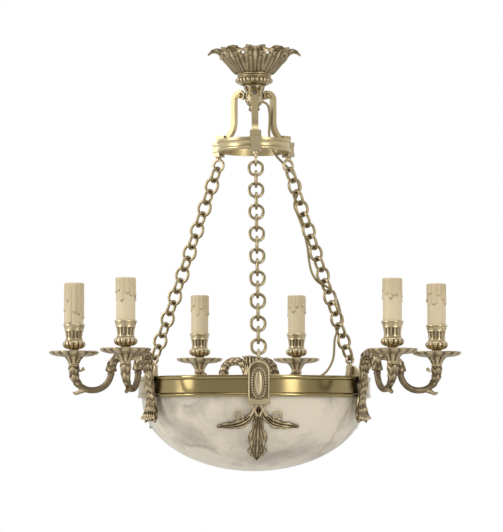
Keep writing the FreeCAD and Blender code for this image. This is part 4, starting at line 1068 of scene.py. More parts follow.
@dataclass
class CandleFittings:
    """What stands on an arm's tip: calyx, drip pan, cup and wax-covered sleeve.

    Attributes:
        shop: Makes the pieces.
        hub: The radius of the bore for the nipple.
        foot: The height of the calyx's foot.
        calyx_top: The height of its top.
        pan_top: The height of the pan's top.
        pan_r: The pan's radius.
        petals: How many petals the pan has.
        cup_body: The height at which the cup's bulb starts.
        cup_top: The height of the cup's rim.
        sleeve_foot: The height of the sleeve's lower end.
        sleeve_top: The height of its upper end.
        sleeve_r: The sleeve's outer radius without wax.
        sleeve_wall: The thickness of the card.
        runs: How many wax runs a sleeve has.
        longest_run: The length that no run passes.
        first_seed: The first sleeve's seed; the others count on from it.
        long_runs: How much longer than usual the runs are, by candle.
    """

    shop: Workshop
    hub: float = 5.1
    foot: float = 46.0
    calyx_top: float = 60.0
    pan_top: float = 67.5
    pan_r: float = 36.5
    petals: int = 16
    cup_body: float = 70.7
    cup_top: float = 107.5
    sleeve_foot: float = 98.0
    sleeve_top: float = 168.4
    sleeve_r: float = 13.7
    sleeve_wall: float = 1.5
    runs: int = 13
    longest_run: float = 62.0
    first_seed: int = 4
    long_runs: dict[str, float] = field(default_factory=lambda: {"left_a": 1.75})

    def calyx(self) -> Shell:
        """A cup of eight pointed leaves that opens under the pan."""
        f, t = self.foot, self.calyx_top
        side = through([(7.6, f), (8.4, f + 1.2), (7.6, f + 2.8), (8.4, f + 6), (10.2, f + 9.5),
                        (12.6, f + 12.2), (13.0, t)], 44)

        def leaves(angle: np.ndarray, r: np.ndarray, z: np.ndarray) -> Relief:
            """Eight leaves: r + a (|cos 4 t|^0.5 - 0.75), with three ribs to a leaf."""
            on = smooth_step(f + 2.6, f + 5, z) * (r > self.hub + 1)
            wave = np.abs(np.cos(4 * angle)) ** 0.5
            ribs = 0.5 + 0.5 * np.cos(24 * angle)
            # Darker between the leaves and their ribs: patina and painted shade.
            return (r + on * (1.5 * (wave - 0.75) + 0.35 * ribs), z,
                    np.clip(on * ((1 - wave) * 1.4 + 0.3 * (1 - ribs)), 0, 1))

        return lathed([(self.hub, f)] + side.tolist() + [(self.hub, t)], 192, leaves)

    def pan(self) -> Shell:
        """A thin pan of sixteen petals, each with a raised middle, and a lobed rim."""
        low, top, rim = self.calyx_top, self.pan_top, self.pan_r
        under = through([(13.0, low - 0.2), (19.5, low + 0.1), (26, low + 0.9), (31.5, low + 2.4),
                         (rim - 1.0, low + 4.6), (rim, low + 6.3)], 34)
        over = through([(rim - 0.9, low + 7.8), (33, low + 6.6), (27, low + 4.8), (20, low + 3.6),
                        (13.5, low + 3.3), (10.6, low + 4.0), (8.8, low + 5.6), (8.5, top)], 40)
        turns = self.petals / 2

        def petals(angle: np.ndarray, r: np.ndarray, z: np.ndarray) -> Relief:
            """z + a (|cos 8 t|^0.6 - 0.55) on the petals, and the rim's r with the same wave."""
            wave = np.abs(np.cos(turns * angle)) ** 0.6
            on = smooth_step(14, 19, r)
            below = z < low + 2.4 + 4.8 * smooth_step(20, rim, r)
            rise = on * (wave - 0.55) * np.where(below, -0.5, 0.8)
            edge = smooth_step(rim - 6, rim, r) * 0.7 * (wave - 0.8)
            ring = np.exp(-(((r - 15.5) / 1.2) ** 2))
            # Darker between the petals, at the ring and a little all over: patina and painted
            # shade.
            dark = np.clip(0.15 + on * (1 - wave) * 0.75 + 0.5 * ring, 0, 1)
            return r + edge, z + rise + 0.5 * ring * np.where(below, -1, 1) * (r < 17), dark

        profile = [(self.hub, low)] + under.tolist() + over.tolist() + [(self.hub, top)]
        return lathed(profile, 224, petals)

    def cup(self) -> Shell:
        """A neck, a gadrooned bulb, a waist of upright slots and a plain rim."""
        f, b, t = self.pan_top, self.cup_body, self.cup_top
        side = through([(7.0, f), (6.9, f + 1.2), (7.3, b - 0.4), (10.5, b + 0.6), (14.8, b + 3.2),
                        (16.6, b + 7.2), (15.9, b + 10.2), (13.0, b + 13.4), (12.3, b + 16.0),
                        (12.5, b + 21.0), (13.3, b + 26.5), (14.7, b + 31.5), (15.2, t - 3.2),
                        (16.0, t - 2.4), (16.0, t - 0.9), (15.4, t)], 110)
        bore = self.sleeve_r + SEAT_GAP
        holder_foot = self.sleeve_foot - SEAT_GAP

        def relief(angle: np.ndarray, r: np.ndarray, z: np.ndarray) -> Relief:
            """Fourteen gadroons |cos 7 t|^0.6 below, and a rounded slot over each of them."""
            outside = (r > 6.5) & ~((z > holder_foot - 0.1) & (r < bore + 0.2))
            wave = np.abs(np.cos(7 * angle)) ** 0.6
            bulb = smooth_step(b, b + 2.5, z) * (1 - smooth_step(b + 8.5, b + 11.5, z))
            apart = np.abs(np.mod(14 * angle / (2 * math.pi), 1.0) - 0.5) * 2
            high, low = t - 7.2, b + 17.6
            cap = np.where(z > high, z - high, np.where(z < low, z - low, 0.0)) / 2.6
            inside = np.clip(1 - (apart / 0.74) ** 2 - cap**2, 0, 1)
            groove = np.exp(-(((z - (b + 13.6)) / 0.7) ** 2))
            lift = bulb * 1.3 * (wave - 0.75) - 1.5 * np.sqrt(inside) - 0.35 * groove
            # Darker in the slots, the groove and between the gadroons: painted shade in the
            # flutes.
            dark = np.clip(bulb * (1 - wave) * 1.3 + 0.8 * np.sqrt(inside) + 0.6 * groove, 0, 1)
            return r + lift * outside, z, dark * outside

        profile = ([(self.hub, f)] + side.tolist()
                   + [(bore, t), (bore, holder_foot), (self.hub, holder_foot)])
        return lathed(profile, 224, relief)

    def sleeve(self, seed: int, long_runs: float) -> tuple[Shell, np.ndarray]:
        """A tube whose upper part carries wax runs of uneven length.

        The radius is R + the greatest of the runs there; a run of half width w centred on
        angle c adds h (1 - ((t - c) / w)^2)^0.5 down to its own end, with a bead at that end.

        Args:
            seed: Picks this sleeve's runs.
            long_runs: How much longer than usual they are.

        Returns:
            The tube, and the wax value of each point.
        """
        rng = np.random.default_rng(seed)
        around, tall = 168, 120
        angle = circle(around)[None, :]
        z = np.linspace(self.sleeve_foot, self.sleeve_top, tall)[:, None]
        wax = np.zeros((tall, around))
        edge = np.zeros((tall, around))
        for k in range(self.runs):
            centre = 2 * math.pi * (k + 0.35 * rng.uniform(-1, 1)) / self.runs
            half = rng.uniform(0.2, 0.36)
            drop = (rng.uniform(16, 27) if k % 3 else rng.uniform(27, 36)) * long_runs
            high = rng.uniform(0.7, 1.35)
            off = np.abs((angle - centre + math.pi) % (2 * math.pi) - math.pi)
            side = np.clip(1 - (off / half) ** 2, 0, 1) ** 0.5
            end = self.sleeve_top - min(drop, self.longest_run)
            taper = end + 4.0 * (off / half) ** 2
            body = smooth_step(-0.2, 1.4, z - taper)
            swell = 0.6 * np.exp(-(((z - end - 2.6) / 2.4) ** 2))
            wax = np.maximum(wax, side * body * high * (1 + swell))
            # Brown darkening in a line under each run's end and along its edges.
            edge = np.maximum(edge, np.exp(-(((z - taper) / 1.2) ** 2)) * (side > 0.2)
                              * rng.uniform(0.5, 1.2))
            edge = np.maximum(edge, body * np.exp(-(((off - half) / 0.05) ** 2))
                              * rng.uniform(0.25, 0.75))
        hem = self.sleeve_top - (17.0 + 3.0 * np.sin(3 * angle + seed) + 2.0 * np.sin(7 * angle))
        coat = 0.45 * smooth_step(-0.3, 1.2, z - hem)
        wax = np.maximum(wax, coat)
        lip = 0.9 * smooth_step(self.sleeve_top - 2.2, self.sleeve_top, z) ** 2
        outer = self.sleeve_r + wax * (1 - 0.4 * (z > self.sleeve_top - 1)) - lip
        inner = self.sleeve_r - self.sleeve_wall
        radii = np.concatenate([outer, np.full((2, around), inner)])
        heights = np.concatenate([z + 0 * angle, np.full((1, around), self.sleeve_top),
                                  np.full((1, around), self.sleeve_foot)])
        points = np.stack([radii * np.cos(angle), radii * np.sin(angle), heights], axis=-1)
        cover = np.concatenate([np.clip(wax / 0.5, 0, 1), np.zeros((2, around))])
        # The inner wall and the ends take half the brown darkening.
        edge_darkening = np.concatenate([np.clip(edge, 0, 1), np.full((2, around), 0.5)])
        faces = grid_faces(tall + 2, around, True, True)
        return Shell(points.reshape(-1, 3), faces, edge_darkening.ravel()), cover.ravel()

    def build(self) -> None:
        """Makes the fittings of all six candles."""
        calyx, pan, cup = self.calyx(), self.pan(), self.cup()
        calyxes, cups = [], []
        for seed, (name, station, side) in enumerate(candles(), start=self.first_seed):
            x, y = candle_place(station, side)
            calyxes.append(calyx.moved(x, y))
            cups.append(cup.moved(x, y))
            self.shop.piece(f"drip_pan_{name}", pan.moved(x, y), Body.BOWL_FRAME, Slot.GILT,
                            [f"bobeche_{name}"])
            tube, wax = self.sleeve(seed, self.long_runs.get(name, 1.0))
            self.shop.piece(f"wax_sleeve_{name}", tube.moved(x, y), f"sleeve_{name}",
                            Slot.CANDLE, [f"candle_sleeve_{name}"], {"wax": wax})
        self.shop.piece("calyx_leaves", Shell.joined(calyxes), Body.BOWL_FRAME, Slot.GILT,
                        ["calyxes"])
        self.shop.piece("cup_gadroons", Shell.joined(cups), Body.BOWL_FRAME, Slot.GILT,
                        ["candle_cups"])


# ------------------------------------------------------------------ plaques and leaves


@dataclass
class Plaque:
    """The relief on a plaque and the leaf spray below it.

    Attributes:
        shop: Makes the pieces.
        face_r: The radius of the plate's face.
        half: Half the plate's width.
        foot: The height of its lower edge.
        shoulder: The height at which its arch starts.
        crest: The height of the arch's top.
        oval: The oval dome: half width, half height, height of its middle.
        bowl_r: The bowl's radius at the band's foot.
        bowl_deep: How deep the bowl is.
        ledge_foot: The height of the ledge's lower edge.
        curl_corner: The radius of a volute's corners.
    """

    shop: Workshop
    face_r: float = RING_R + SEAT_GAP + 4.6
    half: float = 15.5
    foot: float = -5.0
    shoulder: float = 37.0
    crest: float = 51.6
    oval: Triple = (5.2, 17.5, 19.0)
    bowl_r: float = RING_R - 7.0
    bowl_deep: float = 109.0
    ledge_foot: float = -12.0
    curl_corner: float = 1.6

    def face(self) -> Shell:
        """Rim bar round the plate, bead row round the oval, and the oval's dome."""
        r = self.face_r
        line = [(-self.half + 1.5, self.foot + 1.5), (-self.half + 1.5, self.shoulder - 1)]
        line += [((self.half - 1.5) * math.sin(t), self.shoulder - 1
                  + (self.crest - self.shoulder - 1.2) * math.cos(t))
                 for t in np.linspace(-math.pi / 2 + 0.2, math.pi / 2 - 0.2, 15)]
        line += [(self.half - 1.5, self.shoulder - 1), (self.half - 1.5, self.foot + 1.5),
                 (-self.half + 1.5, self.foot + 1.5)]
        rim = rounded([(r, s, z) for s, z in line], [1.0] * (len(line) - 2), 1.0)
        parts = [swept(rim, np.full(len(rim), 1.35), (1, 0, 0), 10), self.plate()]
        wide, tall, middle = self.oval
        angle = circle(400)
        ring = np.stack([0 * angle + r + 1.5, (wide + 4.2) * np.sign(np.cos(angle))
                         * np.abs(np.cos(angle)) ** 0.8, middle + (tall + 3.6)
                         * np.sign(np.sin(angle)) * np.abs(np.sin(angle)) ** 0.8], axis=1)
        gap = run_along(ring)
        at = np.linspace(0, gap[-1], 28, endpoint=False)
        parts.append(beads(np.stack([np.interp(at, gap, ring[:, k]) for k in range(3)], axis=1),
                           1.85))
        loop = ring[::4].copy()
        loop[:, 1] *= (wide + 0.9) / (wide + 4.2)
        loop[:, 2] = middle + (loop[:, 2] - middle) * (tall + 0.9) / (tall + 3.6)
        parts.append(swept(np.concatenate([loop, loop[:1]]), np.full(len(loop) + 1, 0.9),
                           (1, 0, 0), 8))
        u = np.linspace(0, 1, 14)[:, None]
        a = circle(48)[None, :]
        dome = np.stack([r + 2.8 + 2.0 * np.sqrt(1 - u**2 * 0.999) + 0 * a, wide * u * np.cos(a),
                         middle + tall * u * np.sin(a)], axis=-1)
        base = dome[-1:].copy()
        base[..., 0] = r - 0.5
        close = base.copy()
        close[..., 1:] = np.array([0.0, middle])
        rows = np.concatenate([dome, base, close])
        parts.append(Shell(rows.reshape(-1, 3), grid_faces(16, 48, False, True),
                           np.full(16 * 48, 0.05)))
        for z, height, out in ((self.foot - 0.9, 1.6, 7.6), (self.ledge_foot + 1.3, 1.5, 6.6)):
            bar = np.array([(RING_R + SEAT_GAP + out - 1.5, s, z)
                            for s in np.linspace(-16.2, 16.2, 12)])
            parts.append(swept(bar, np.full(12, height), (0, 0, 1), 14))
        return Shell.joined(parts)

    def plate(self) -> Shell:
        """A swelling plate inside the rim: out = R + a (1 - u^2) sin(pi v)^0.5."""
        rows, columns = 40, 33
        v = np.linspace(0.02, 0.98, rows)[:, None]
        u = np.linspace(-1, 1, columns)[None, :]
        z = self.foot + 1.0 + (self.crest - self.foot - 2.2) * v
        over = np.clip((z - self.shoulder + 1) / (self.crest - self.shoulder - 0.5), 0, 0.98)
        half = (self.half - 1.6) * np.sqrt(1 - over**2)
        bulge = 1.6 * (1 - u**2) * np.sin(math.pi * v) ** 0.5
        out = self.face_r + 0.1 + bulge
        front = np.stack([out + 0 * u, half * u, z + 0 * u], axis=-1)
        back = front.copy()
        back[..., 0] = self.face_r - 0.8
        # The plate inside the rim is darker, more so towards its sides: patina and painted shade.
        return thick_sheet(front, back, 0.62 + 0.2 * np.abs(u) + 0 * v)

    def on_bowl(self, aside: np.ndarray, height: np.ndarray, off: float) -> Points:
        """Points over the bowl: radius solves s^2/a^2 + r^2/a^2 + z^2/b^2 = 1, grown by off."""
        a, b = self.bowl_r + off, self.bowl_deep + off
        under = np.clip(1 - (aside / a) ** 2 - (height / b) ** 2, 0.0, 1)
        return np.stack([a * np.sqrt(under), aside, height], axis=-1)

    def sprig(self, rib: Sequence[tuple[float, float]], widths: Sequence[float], lobes: float,
              off: float = 2.0, **more: float) -> Shell:
        """A leaf whose rib of (aside, height) points lies over the bowl.

        Args:
            rib: The middle rib.
            widths: Half widths from root to tip.
            lobes: Lobes on each edge.
            off: How far the rib stands off the bowl.
            more: Other values of Leaf.

        Returns:
            The leaf, shown side outwards.
        """
        flat = np.asarray(rib, float)
        path = self.on_bowl(flat[:, 0], flat[:, 1], off)
        way = path[-1] - path[0]
        out = path.mean(axis=0) - np.array([0, 0, 60.0])
        side = np.cross(way, out)
        return Leaf(path.tolist(), side.tolist(), widths, lobes=lobes, front=(1, 0, -0.3),
                    fine=(56, 21), **more).shell()

    def spray(self) -> Shell:
        """A centre leaf, two side sprigs with curled volutes, and the strut above them."""
        top = self.ledge_foot
        parts = [
            self.sprig([(0, top - 13), (0, top - 24), (0, top - 34), (0, top - 44), (0, top - 56)],
                       (5.0, 7.0, 9.5, 12.5, 15.0, 10.5), 2.5, 2.6, notch=0.2, cup=0.1,
                       relief=0.9, thick=2.6, fan=2.5, fan_relief=0.7),
            self.sprig([(0, top - 46), (0, top - 56), (0, top - 66), (0, top - 79.5)],
                       (8.0, 12.0, 14.5, 10.5, 0.8), 3.2, 2.6, notch=0.36, cup=0.1,
                       relief=1.0, thick=2.4, sweep=0.5, fan=2.5, fan_relief=0.7),
            self.sprig([(0, top - 3), (0, top - 10), (0, top - 17), (0, top - 24)],
                       (3.0, 6.5, 5.5, 0.8), 5.0, 1.5, notch=0.25, cup=0.1, relief=0.9,
                       thick=2.2, fan=1.5, fan_relief=0.5),
        ]
        for way in (-1.0, 1.0):
            parts.append(self.sprig([(4 * way, top - 8), (12 * way, top - 19),
                                     (22 * way, top - 26.5), (34 * way, top - 30),
                                     (47 * way, top - 31), (59 * way, top - 32)],
                                    (4.0, 6.0, 7.5, 7.0, 5.0, 1.4), 3.5, 3.4, notch=0.3, cup=0.1,
                                    relief=1.0, thick=2.4, sweep=0.5, fan=1.5, fan_relief=0.6))
            box_line = [(22.0, -23.5), (22.0, -12.5), (34.0, -11.5), (34.5, -20.0), (28.5, -20.5),
                        (28.0, -16.5)]
            flat = rounded([(0, way * s, top + z) for s, z in box_line],
                           [self.curl_corner] * (len(box_line) - 2), 0.8)
            curl = self.on_bowl(flat[:, 1], flat[:, 2], 4.0)
            parts.append(swept(curl, np.full(len(curl), 1.45), (1, 0, 0.2), 10))
            for start, end in ((11.0, 1.0), (2.0, 11.5)):
                bar = through([(RING_R + 4.5, start * way, top + 0.8),
                               (RING_R + 2.2, (0.55 * start + 0.45 * end) * way, top - 7),
                               (RING_R - 2.5, end * way, top - 17)], 18)
                parts.append(swept(bar, np.full(18, 2.1), (1, 0, 0.3), 10))
        return Shell.joined(parts)

    def build(self) -> None:
        """Makes the relief and the spray at the three chains."""
        face, spray = self.face(), self.spray()
        for place, station in CHAIN_STATIONS.items():
            self.shop.piece(f"plaque_relief_{place}", at_station(face, station), Body.BOWL_FRAME,
                            Slot.GILT)
            self.shop.piece(f"acanthus_spray_{place}", at_station(spray, station),
                            Body.BOWL_FRAME, Slot.GILT, [f"leaf_spray_{place}"])


@dataclass
class Bracket:
    """The acanthus mount that carries a pair of arms.

    Attributes:
        shop: Makes the pieces.
        back_r: The radius of the face that lies on the band.
        boss_deep: How far the boss stands out.
        top: The height of the boss's top.
    """

    shop: Workshop
    back_r: float = RING_R + SEAT_GAP
    boss_deep: float = 9.0
    top: float = 50.0

    def mount(self) -> Shell:
        """Pendant of long strands with a beaded flare, boss, and leaves that curl above."""
        b, face = self.back_r, self.back_r + self.boss_deep
        pendant = Leaf([(face - 1, 0, 46), (face + 0.4, 0, 36), (face - 1.2, 0, 22),
                        (b + 4.8, 0, 6), (b + 3.2, 0, -8), (b + 3.8, 0, -18), (b + 5.6, 0, -27),
                        (b + 7.6, 0, -34)], (0, 1, 0),
                       (8.0, 10.5, 10.0, 9.5, 10.5, 13.5, 17.0, 17.5), lobes=4, notch=0.16,
                       sweep=0.15, cup=0.18, relief=1.2, thick=2.8, fan=2.5, fan_relief=0.8,
                       fine=(96, 37)).shell()
        parts = [pendant]
        for k in range(-3, 4):
            in_by = 0.35 * abs(k)
            strand = through([(face + 1.2 - in_by, 1.7 * k, 38 - 2.0 * abs(k)),
                              (face + 0.8 - in_by, 2.5 * k, 22), (b + 6.6 - in_by, 2.6 * k, 5),
                              (b + 5.4 - in_by, 3.0 * k, -8), (b + 6.2 - in_by, 4.1 * k, -18),
                              (b + 8.6 - in_by, 5.3 * k, -29)], 60)
            width = 1.25 + 0.55 * np.sin(np.linspace(0.4 * k, math.pi * 4 + 0.4 * k, 60)) ** 2
            parts.append(swept(strand, width, (0, 1, 0), 12, lambda share, angle: 0.3 * np.cos(
                3 * angle + 26 * share) + 0.25 * np.sin(40 * share)))
            parts.append(beads(np.array([(b + 9.2 - in_by, 5.5 * k, -31.5 + 0.45 * abs(k))]), 2.5))
        u = np.linspace(0, 1, 40)[:, None]
        a = circle(56)[None, :]
        plump = np.sin(math.pi * np.clip(u, 0.02, 0.98)) ** 0.35
        ridge = 0.8 * np.abs(np.cos(3.5 * a)) ** 0.7
        middle = self.boss_deep / 2
        boss = np.stack([b + middle + (middle + ridge * 0.6) * plump * np.cos(a),
                         (9.0 + ridge) * plump * np.sin(a), 18 + 34 * u + 0 * a], axis=-1)
        boss[..., 0] = np.maximum(boss[..., 0], b)
        ends = [np.repeat(boss[k:k + 1].mean(axis=1, keepdims=True), 56, axis=1) for k in (0, 39)]
        rows = np.concatenate([ends[0], boss, ends[1]])
        # Darker in the boss's grooves: patina and painted shade.
        recess = np.concatenate([np.full((1, 56), 0.5), 1 - np.abs(np.cos(3.5 * a)) ** 0.7 + 0 * u,
                                 np.full((1, 56), 0.5)])
        parts.append(Shell(rows.reshape(-1, 3), grid_faces(42, 56, False, True), recess.ravel()))
        curl = Leaf([(b + 2.2, 0, self.top - 8), (b + 2.8, 0, self.top + 6),
                     (b + 6.5, 0, self.top + 15), (b + 14, 0, self.top + 20),
                     (b + 22, 0, self.top + 17.5), (b + 25, 0, self.top + 12)], (0, 1, 0),
                    (7.5, 8.5, 10.5, 12.5, 9.5, 2.5), lobes=4, notch=0.34, sweep=0.4, cup=0.3,
                    relief=1.2, thick=2.2, front=(0.5, 0, 0.8), fan=2.0, fan_relief=0.6,
                    fine=(60, 29)).shell()
        curl.points[:, 0] = np.maximum(curl.points[:, 0], b + 0.2)
        parts.append(curl)
        return Shell.joined(parts)

    def build(self) -> None:
        """Makes the three mounts."""
        shell = self.mount()
        for place, station in BRACKET_STATIONS.items():
            self.shop.piece(f"bracket_acanthus_{place}", at_station(shell, station),
                            Body.BOWL_FRAME, Slot.GILT, [f"bracket_leaf_{place}"])


# ------------------------------------------------------------------ cable


@dataclass
class SupplyCable:
    """The gold cable: out of the neck, woven through the right-hand chain, into the hub.

    Attributes:
        shop: Makes the piece.
        radius: The cable's radius.
        length: Its length along the route; not used.
        station: The chain's station.
        upper_eye: The chain's upper end: radius, height and how far down the links begin.
        lower_eye: Its lower end, the same way.
        upper: The route above the chain, as (radius, aside, height).
        woven: The route in the chain: along it, out from it, aside.
        lower: The route inside the bowl, as (radius, aside, height).
        blend_from: The height, in metres, at which the cable would start to leave the ceiling's
            body; not used.
        blend_to: The height from which it would follow the bowl's frame; not used.
    """

    shop: Workshop
    radius: float = 1.8
    length: float = 638.6
    station: float = 120.0
    upper_eye: Triple = (61.0, 353.0, 8.3)
    lower_eye: Triple = (173.1, 60.5, 5.6)
    blend_from: float = 0.345
    blend_to: float = 0.06
    upper: Sequence[Triple] = (
        (7.5, 0, 448.5), (23, 0, 448.3), (28.2, 0.5, 434), (28.2, 1, 416), (29, 4.5, 399),
        (36, 10.5, 384), (47, 13.8, 369.5), (58, 12.5, 359.5))
    woven: Sequence[Triple] = (
        (2, 9.5, 9.5), (19, 12.5, 6.6), (33.6, 10, 5.2), (49.6, -10, 5.0), (71, -6.3, 5.2),
        (95, -5.6, 5.0), (119, -7.5, 5.3), (141, -13, 5.6), (159, -15, 5.4), (176, -10, 5.1),
        (192, 10, 5.1), (209, 14.6, 5.4), (230, 14.2, 5.6), (247.2, 10, 5.1), (263.2, -10, 5.1),
        (279, -16, 6.5))
    lower: Sequence[Triple] = (
        (151, 11, 62), (141, 13.5, 42), (122, 12, 32), (100, 6, 30), (76, -1, 31), (52, -5, 30),
        (28, -4, 31), (8, -1.2, 31), (0, 0, 23), (0, 0, 12))

    def route(self) -> Points:
        """The route's points in millimetres, turned to the cable's station."""
        high, low = np.array(self.upper_eye), np.array(self.lower_eye)
        way = (low - high)[:2] / np.linalg.norm((low - high)[:2])
        start = high[:2] + way * high[2]
        woven = [(start[0] + way[0] * a - way[1] * out, side, start[1] + way[1] * a + way[0] * out)
                 for a, out, side in self.woven]
        points = np.array(list(self.upper) + woven + list(self.lower), float)
        blank = Shell(points, np.zeros((0, 4), int), np.zeros(len(points)))
        return at_station(blank, self.station).points

    def spline_points(self) -> Points:
        """The line of the route's NURBS spline, read from an unbevelled curve, in metres."""
        control = self.route() * MM + np.array([0, 0, RING_FOOT_LEVEL])
        curve = bpy.data.curves.new("cable_route", "CURVE")
        curve.dimensions = "3D"
        curve.resolution_u = 14
        spline = curve.splines.new("NURBS")
        spline.points.add(len(control) - 1)
        for point, place in zip(spline.points, control):
            point.co = (*place, 1.0)
        spline.order_u = 3
        spline.use_endpoint_u = True
        holder = bpy.data.objects.new("cable_route", curve)
        bpy.context.scene.collection.objects.link(holder)
        bpy.context.view_layer.update()
        mesh = bpy.data.meshes.new_from_object(
            holder.evaluated_get(bpy.context.evaluated_depsgraph_get()))
        line = np.array([v.co[:] for v in mesh.vertices])
        bpy.data.objects.remove(holder)
        bpy.data.meshes.remove(mesh)
        return line

    def build(self) -> None:
        """Carries a circle along the line, its frame turned as little as it can be."""
        line = self.spline_points()
        keep = np.r_[True, np.linalg.norm(np.diff(line, axis=0), axis=1) > 1e-6]
        line = line[keep]
        tangent = tangents(line)
        side = np.zeros_like(line)
        side[0] = np.cross(tangent[0], (0.0, 0.0, 1.0))
        for k in range(1, len(line)):
            carried = side[k - 1] - tangent[k] * (side[k - 1] @ tangent[k])
            side[k] = carried / np.linalg.norm(carried)
        side[0] /= np.linalg.norm(side[0])
        other = np.cross(tangent, side)
        around = 14
        angle = circle(around)[None, :, None]
        rows = line[:, None, :] + self.radius * MM * (np.cos(angle) * side[:, None, :]
                                                      + np.sin(angle) * other[:, None, :])
        ends = [np.repeat(line[k][None, None, :], around, axis=1) for k in (0, -1)]
        rows = np.concatenate([ends[0], rows, ends[1]])
        points = (rows.reshape(-1, 3) - np.array([0, 0, RING_FOOT_LEVEL])) / MM
        shell = Shell(points, grid_faces(len(line) + 2, around, False, True),
                      np.zeros(len(points)))
        made = self.shop.piece("supply_cable_sheath", shell, None, Slot.CABLE,
                               ["supply_cable"])
        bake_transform(made)


# ------------------------------------------------------------------ studio


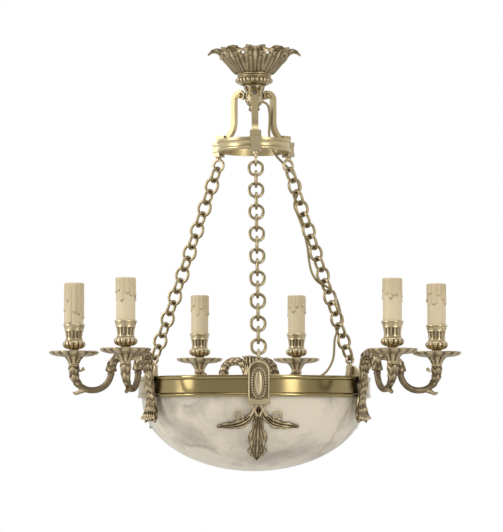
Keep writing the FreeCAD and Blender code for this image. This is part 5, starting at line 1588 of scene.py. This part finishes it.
@dataclass
class Studio:
    """Pale floor, white backdrop, soft lamps and the camera of the photograph, in metres.

    Attributes:
        floor_drop: How far the floor lies below the object.
        distance: How far the camera stands from the object's axis.
        azimuth: The camera's station in degrees.
        camera_height: Its height above the band's foot.
        aim_height: The height that it looks at.
        aim_x: How far aside it looks.
        frame_height: How tall the view is at the object.
        sensor: The camera's sensor width in millimetres.
    """

    floor_drop: float = 0.42
    distance: float = 4.0
    azimuth: float = -2.1
    camera_height: float = -0.064
    aim_height: float = 0.1985
    aim_x: float = -0.004
    frame_height: float = 532 * 0.0015
    sensor: float = 36.0

    def floor(self) -> None:
        """A wide floor: pale round the object, and the backdrop's white further out."""
        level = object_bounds()[0][2] - self.floor_drop
        reach, steps = 40.0, 41
        x, y = np.meshgrid(np.linspace(-reach, reach, steps), np.linspace(-reach, reach, steps))
        points = np.stack([x, y, np.full_like(x, level)], axis=-1).reshape(-1, 3)
        mesh = bpy.data.meshes.new("studio_floor")
        mesh.from_pydata(points.tolist(), [], grid_faces(steps, steps, False, False).tolist())
        web = Web("studio_floor")
        where = web.node("ShaderNodeTexCoord").outputs["Object"]
        grain = web.noise(where, 3.0, 2.0, 0.5)
        web.link(web.mix(grain, (0.83, 0.83, 0.82), (0.78, 0.78, 0.77)),
                 web.shader.inputs["Base Color"])
        web.shader.inputs["Roughness"].default_value = 0.8
        glow = web.node("ShaderNodeEmission")
        length = web.node("ShaderNodeVectorMath")
        length.operation = "LENGTH"
        web.link(where, length.inputs[0])
        far = web.grey(web.ramp(web.math("DIVIDE", length.outputs["Value"], 6.0),
                                [(0.22, (0, 0, 0)), (0.6, (1, 1, 1))]))
        seen = self.seen_rays(web)
        both = web.mix_shaders(web.math("MULTIPLY", far, seen), web.shader.outputs["BSDF"],
                               glow.outputs["Emission"])
        web.link(both, web.out.inputs["Surface"])
        mesh.materials.append(web.material)
        floor = bpy.data.objects.new("studio_floor", mesh)
        bpy.context.scene.collection.objects.link(floor)
        floor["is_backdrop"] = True

    @staticmethod
    def seen_rays(web: Nodes) -> bpy.types.NodeSocket:
        """1 for camera, glossy and transmission rays."""
        rays = web.node("ShaderNodeLightPath")
        both = web.math("MAXIMUM", rays.outputs["Is Camera Ray"], rays.outputs["Is Glossy Ray"])
        return web.math("MAXIMUM", both, rays.outputs["Is Transmission Ray"])

    def world(self) -> None:
        """A white surround for seen rays, dimmer towards the camera's side in reflections."""
        world = bpy.data.worlds.new("studio_world")
        bpy.context.scene.world = world
        world.use_nodes = True
        web = Nodes(world.node_tree)
        out = web.node("ShaderNodeOutputWorld")
        fill, seen = web.node("ShaderNodeBackground"), web.node("ShaderNodeBackground")
        fill.inputs["Color"].default_value = (1.0, 0.985, 0.96, 1.0)
        fill.inputs["Strength"].default_value = 0.5
        way = web.node("ShaderNodeSeparateXYZ")
        web.link(web.node("ShaderNodeTexCoord").outputs["Generated"], way.inputs[0])
        near = web.ramp(web.math("MULTIPLY_ADD", way.outputs["Y"], 0.5, 0.5),
                        [(0.26, (0.34, 0.33, 0.32)), (0.66, (0.92, 0.92, 0.92))])
        rays = web.node("ShaderNodeLightPath")
        web.link(web.mix(rays.outputs["Is Camera Ray"], near, (1.0, 1.0, 1.0)),
                 seen.inputs["Color"])
        both = web.mix_shaders(self.seen_rays(web), fill.outputs["Background"],
                               seen.outputs["Background"])
        web.link(both, out.inputs["Surface"])

    def lamp(self, name: str, place: Sequence[float], size: tuple[float, float],
             power: float, warmth: Triple = (1.0, 1.0, 1.0)) -> None:
        """Adds one soft rectangular lamp that looks at the object's middle.

        Args:
            name: The lamp's name.
            place: Where it stands, in metres.
            size: Its width and height.
            power: Its power in watts.
            warmth: Its colour.
        """
        data = bpy.data.lights.new(name, "AREA")
        data.shape = "RECTANGLE"
        data.size, data.size_y = size
        data.energy = power
        data.color = warmth
        lamp = bpy.data.objects.new(name, data)
        bpy.context.scene.collection.objects.link(lamp)
        self.look(lamp, np.array(place), np.array([0.0, 0.0, RING_FOOT_LEVEL + 0.15]))

    @staticmethod
    def look(target: bpy.types.Object, place: np.ndarray, aim: np.ndarray) -> None:
        """Stands an object at a place with its -Z axis towards the aim and +Y up."""
        back = (place - aim) / np.linalg.norm(place - aim)
        right = np.cross((0.0, 0.0, 1.0), back)
        right /= np.linalg.norm(right)
        up = np.cross(back, right)
        matrix = np.eye(4)
        matrix[:3, :4] = np.stack([right, up, back, place], axis=1)
        target.matrix_world = Matrix(matrix.tolist())

    def camera(self) -> None:
        """The photograph's camera: low, far and tilted a little up."""
        a = math.radians(self.azimuth)
        place = np.array([math.sin(a) * self.distance, -math.cos(a) * self.distance,
                          RING_FOOT_LEVEL + self.camera_height])
        data = bpy.data.cameras.new("photo_camera")
        camera = bpy.data.objects.new("photo_camera", data)
        bpy.context.scene.collection.objects.link(camera)
        aim = np.array([self.aim_x, 0.0, RING_FOOT_LEVEL + self.aim_height])
        self.look(camera, place, aim)
        data.sensor_fit = "AUTO"
        data.sensor_width = self.sensor
        data.lens = self.sensor * self.distance / self.frame_height
        data.clip_end = 200.0
        bpy.context.scene.camera = camera

    def build(self) -> None:
        """Sets the stage, lights and camera."""
        scene = bpy.context.scene
        scene.view_settings.view_transform = "Standard"
        self.world()
        self.floor()
        self.lamp("key_right", (1.75, -2.6, 0.5), (0.7, 1.9), 30.0, (1.0, 0.97, 0.9))
        self.lamp("key_left", (-2.7, -0.9, 0.5), (0.9, 1.9), 38.0, (1.0, 0.98, 0.94))
        self.lamp("overhead", (0.0, -0.6, 2.4), (2.0, 1.4), 22.0)
        self.camera()


# ------------------------------------------------------------------ the whole


def dress_nodes(shop: Workshop) -> None:
    """Gives every node that stays shown its finish, by the record's slots."""
    by_value = {slot.value: slot for slot in Slot}
    for part in frame["record"]["subparts"]:
        shop.dress(part["node"], by_value[part["material_slot"]])


def main() -> None:
    """Builds the chandelier's dressed pieces and the studio, in order."""
    logging.basicConfig(level=logging.INFO, format="%(name)s: %(message)s")
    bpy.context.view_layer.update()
    shop = Workshop(Finishes())
    dress_nodes(shop)
    Crown(shop).build()
    CandleFittings(shop).build()
    CandleArm(shop).build()
    Plaque(shop).build()
    Bracket(shop).build()
    SupplyCable(shop).build()
    Studio().build()


if __name__ == "__main__":
    main()
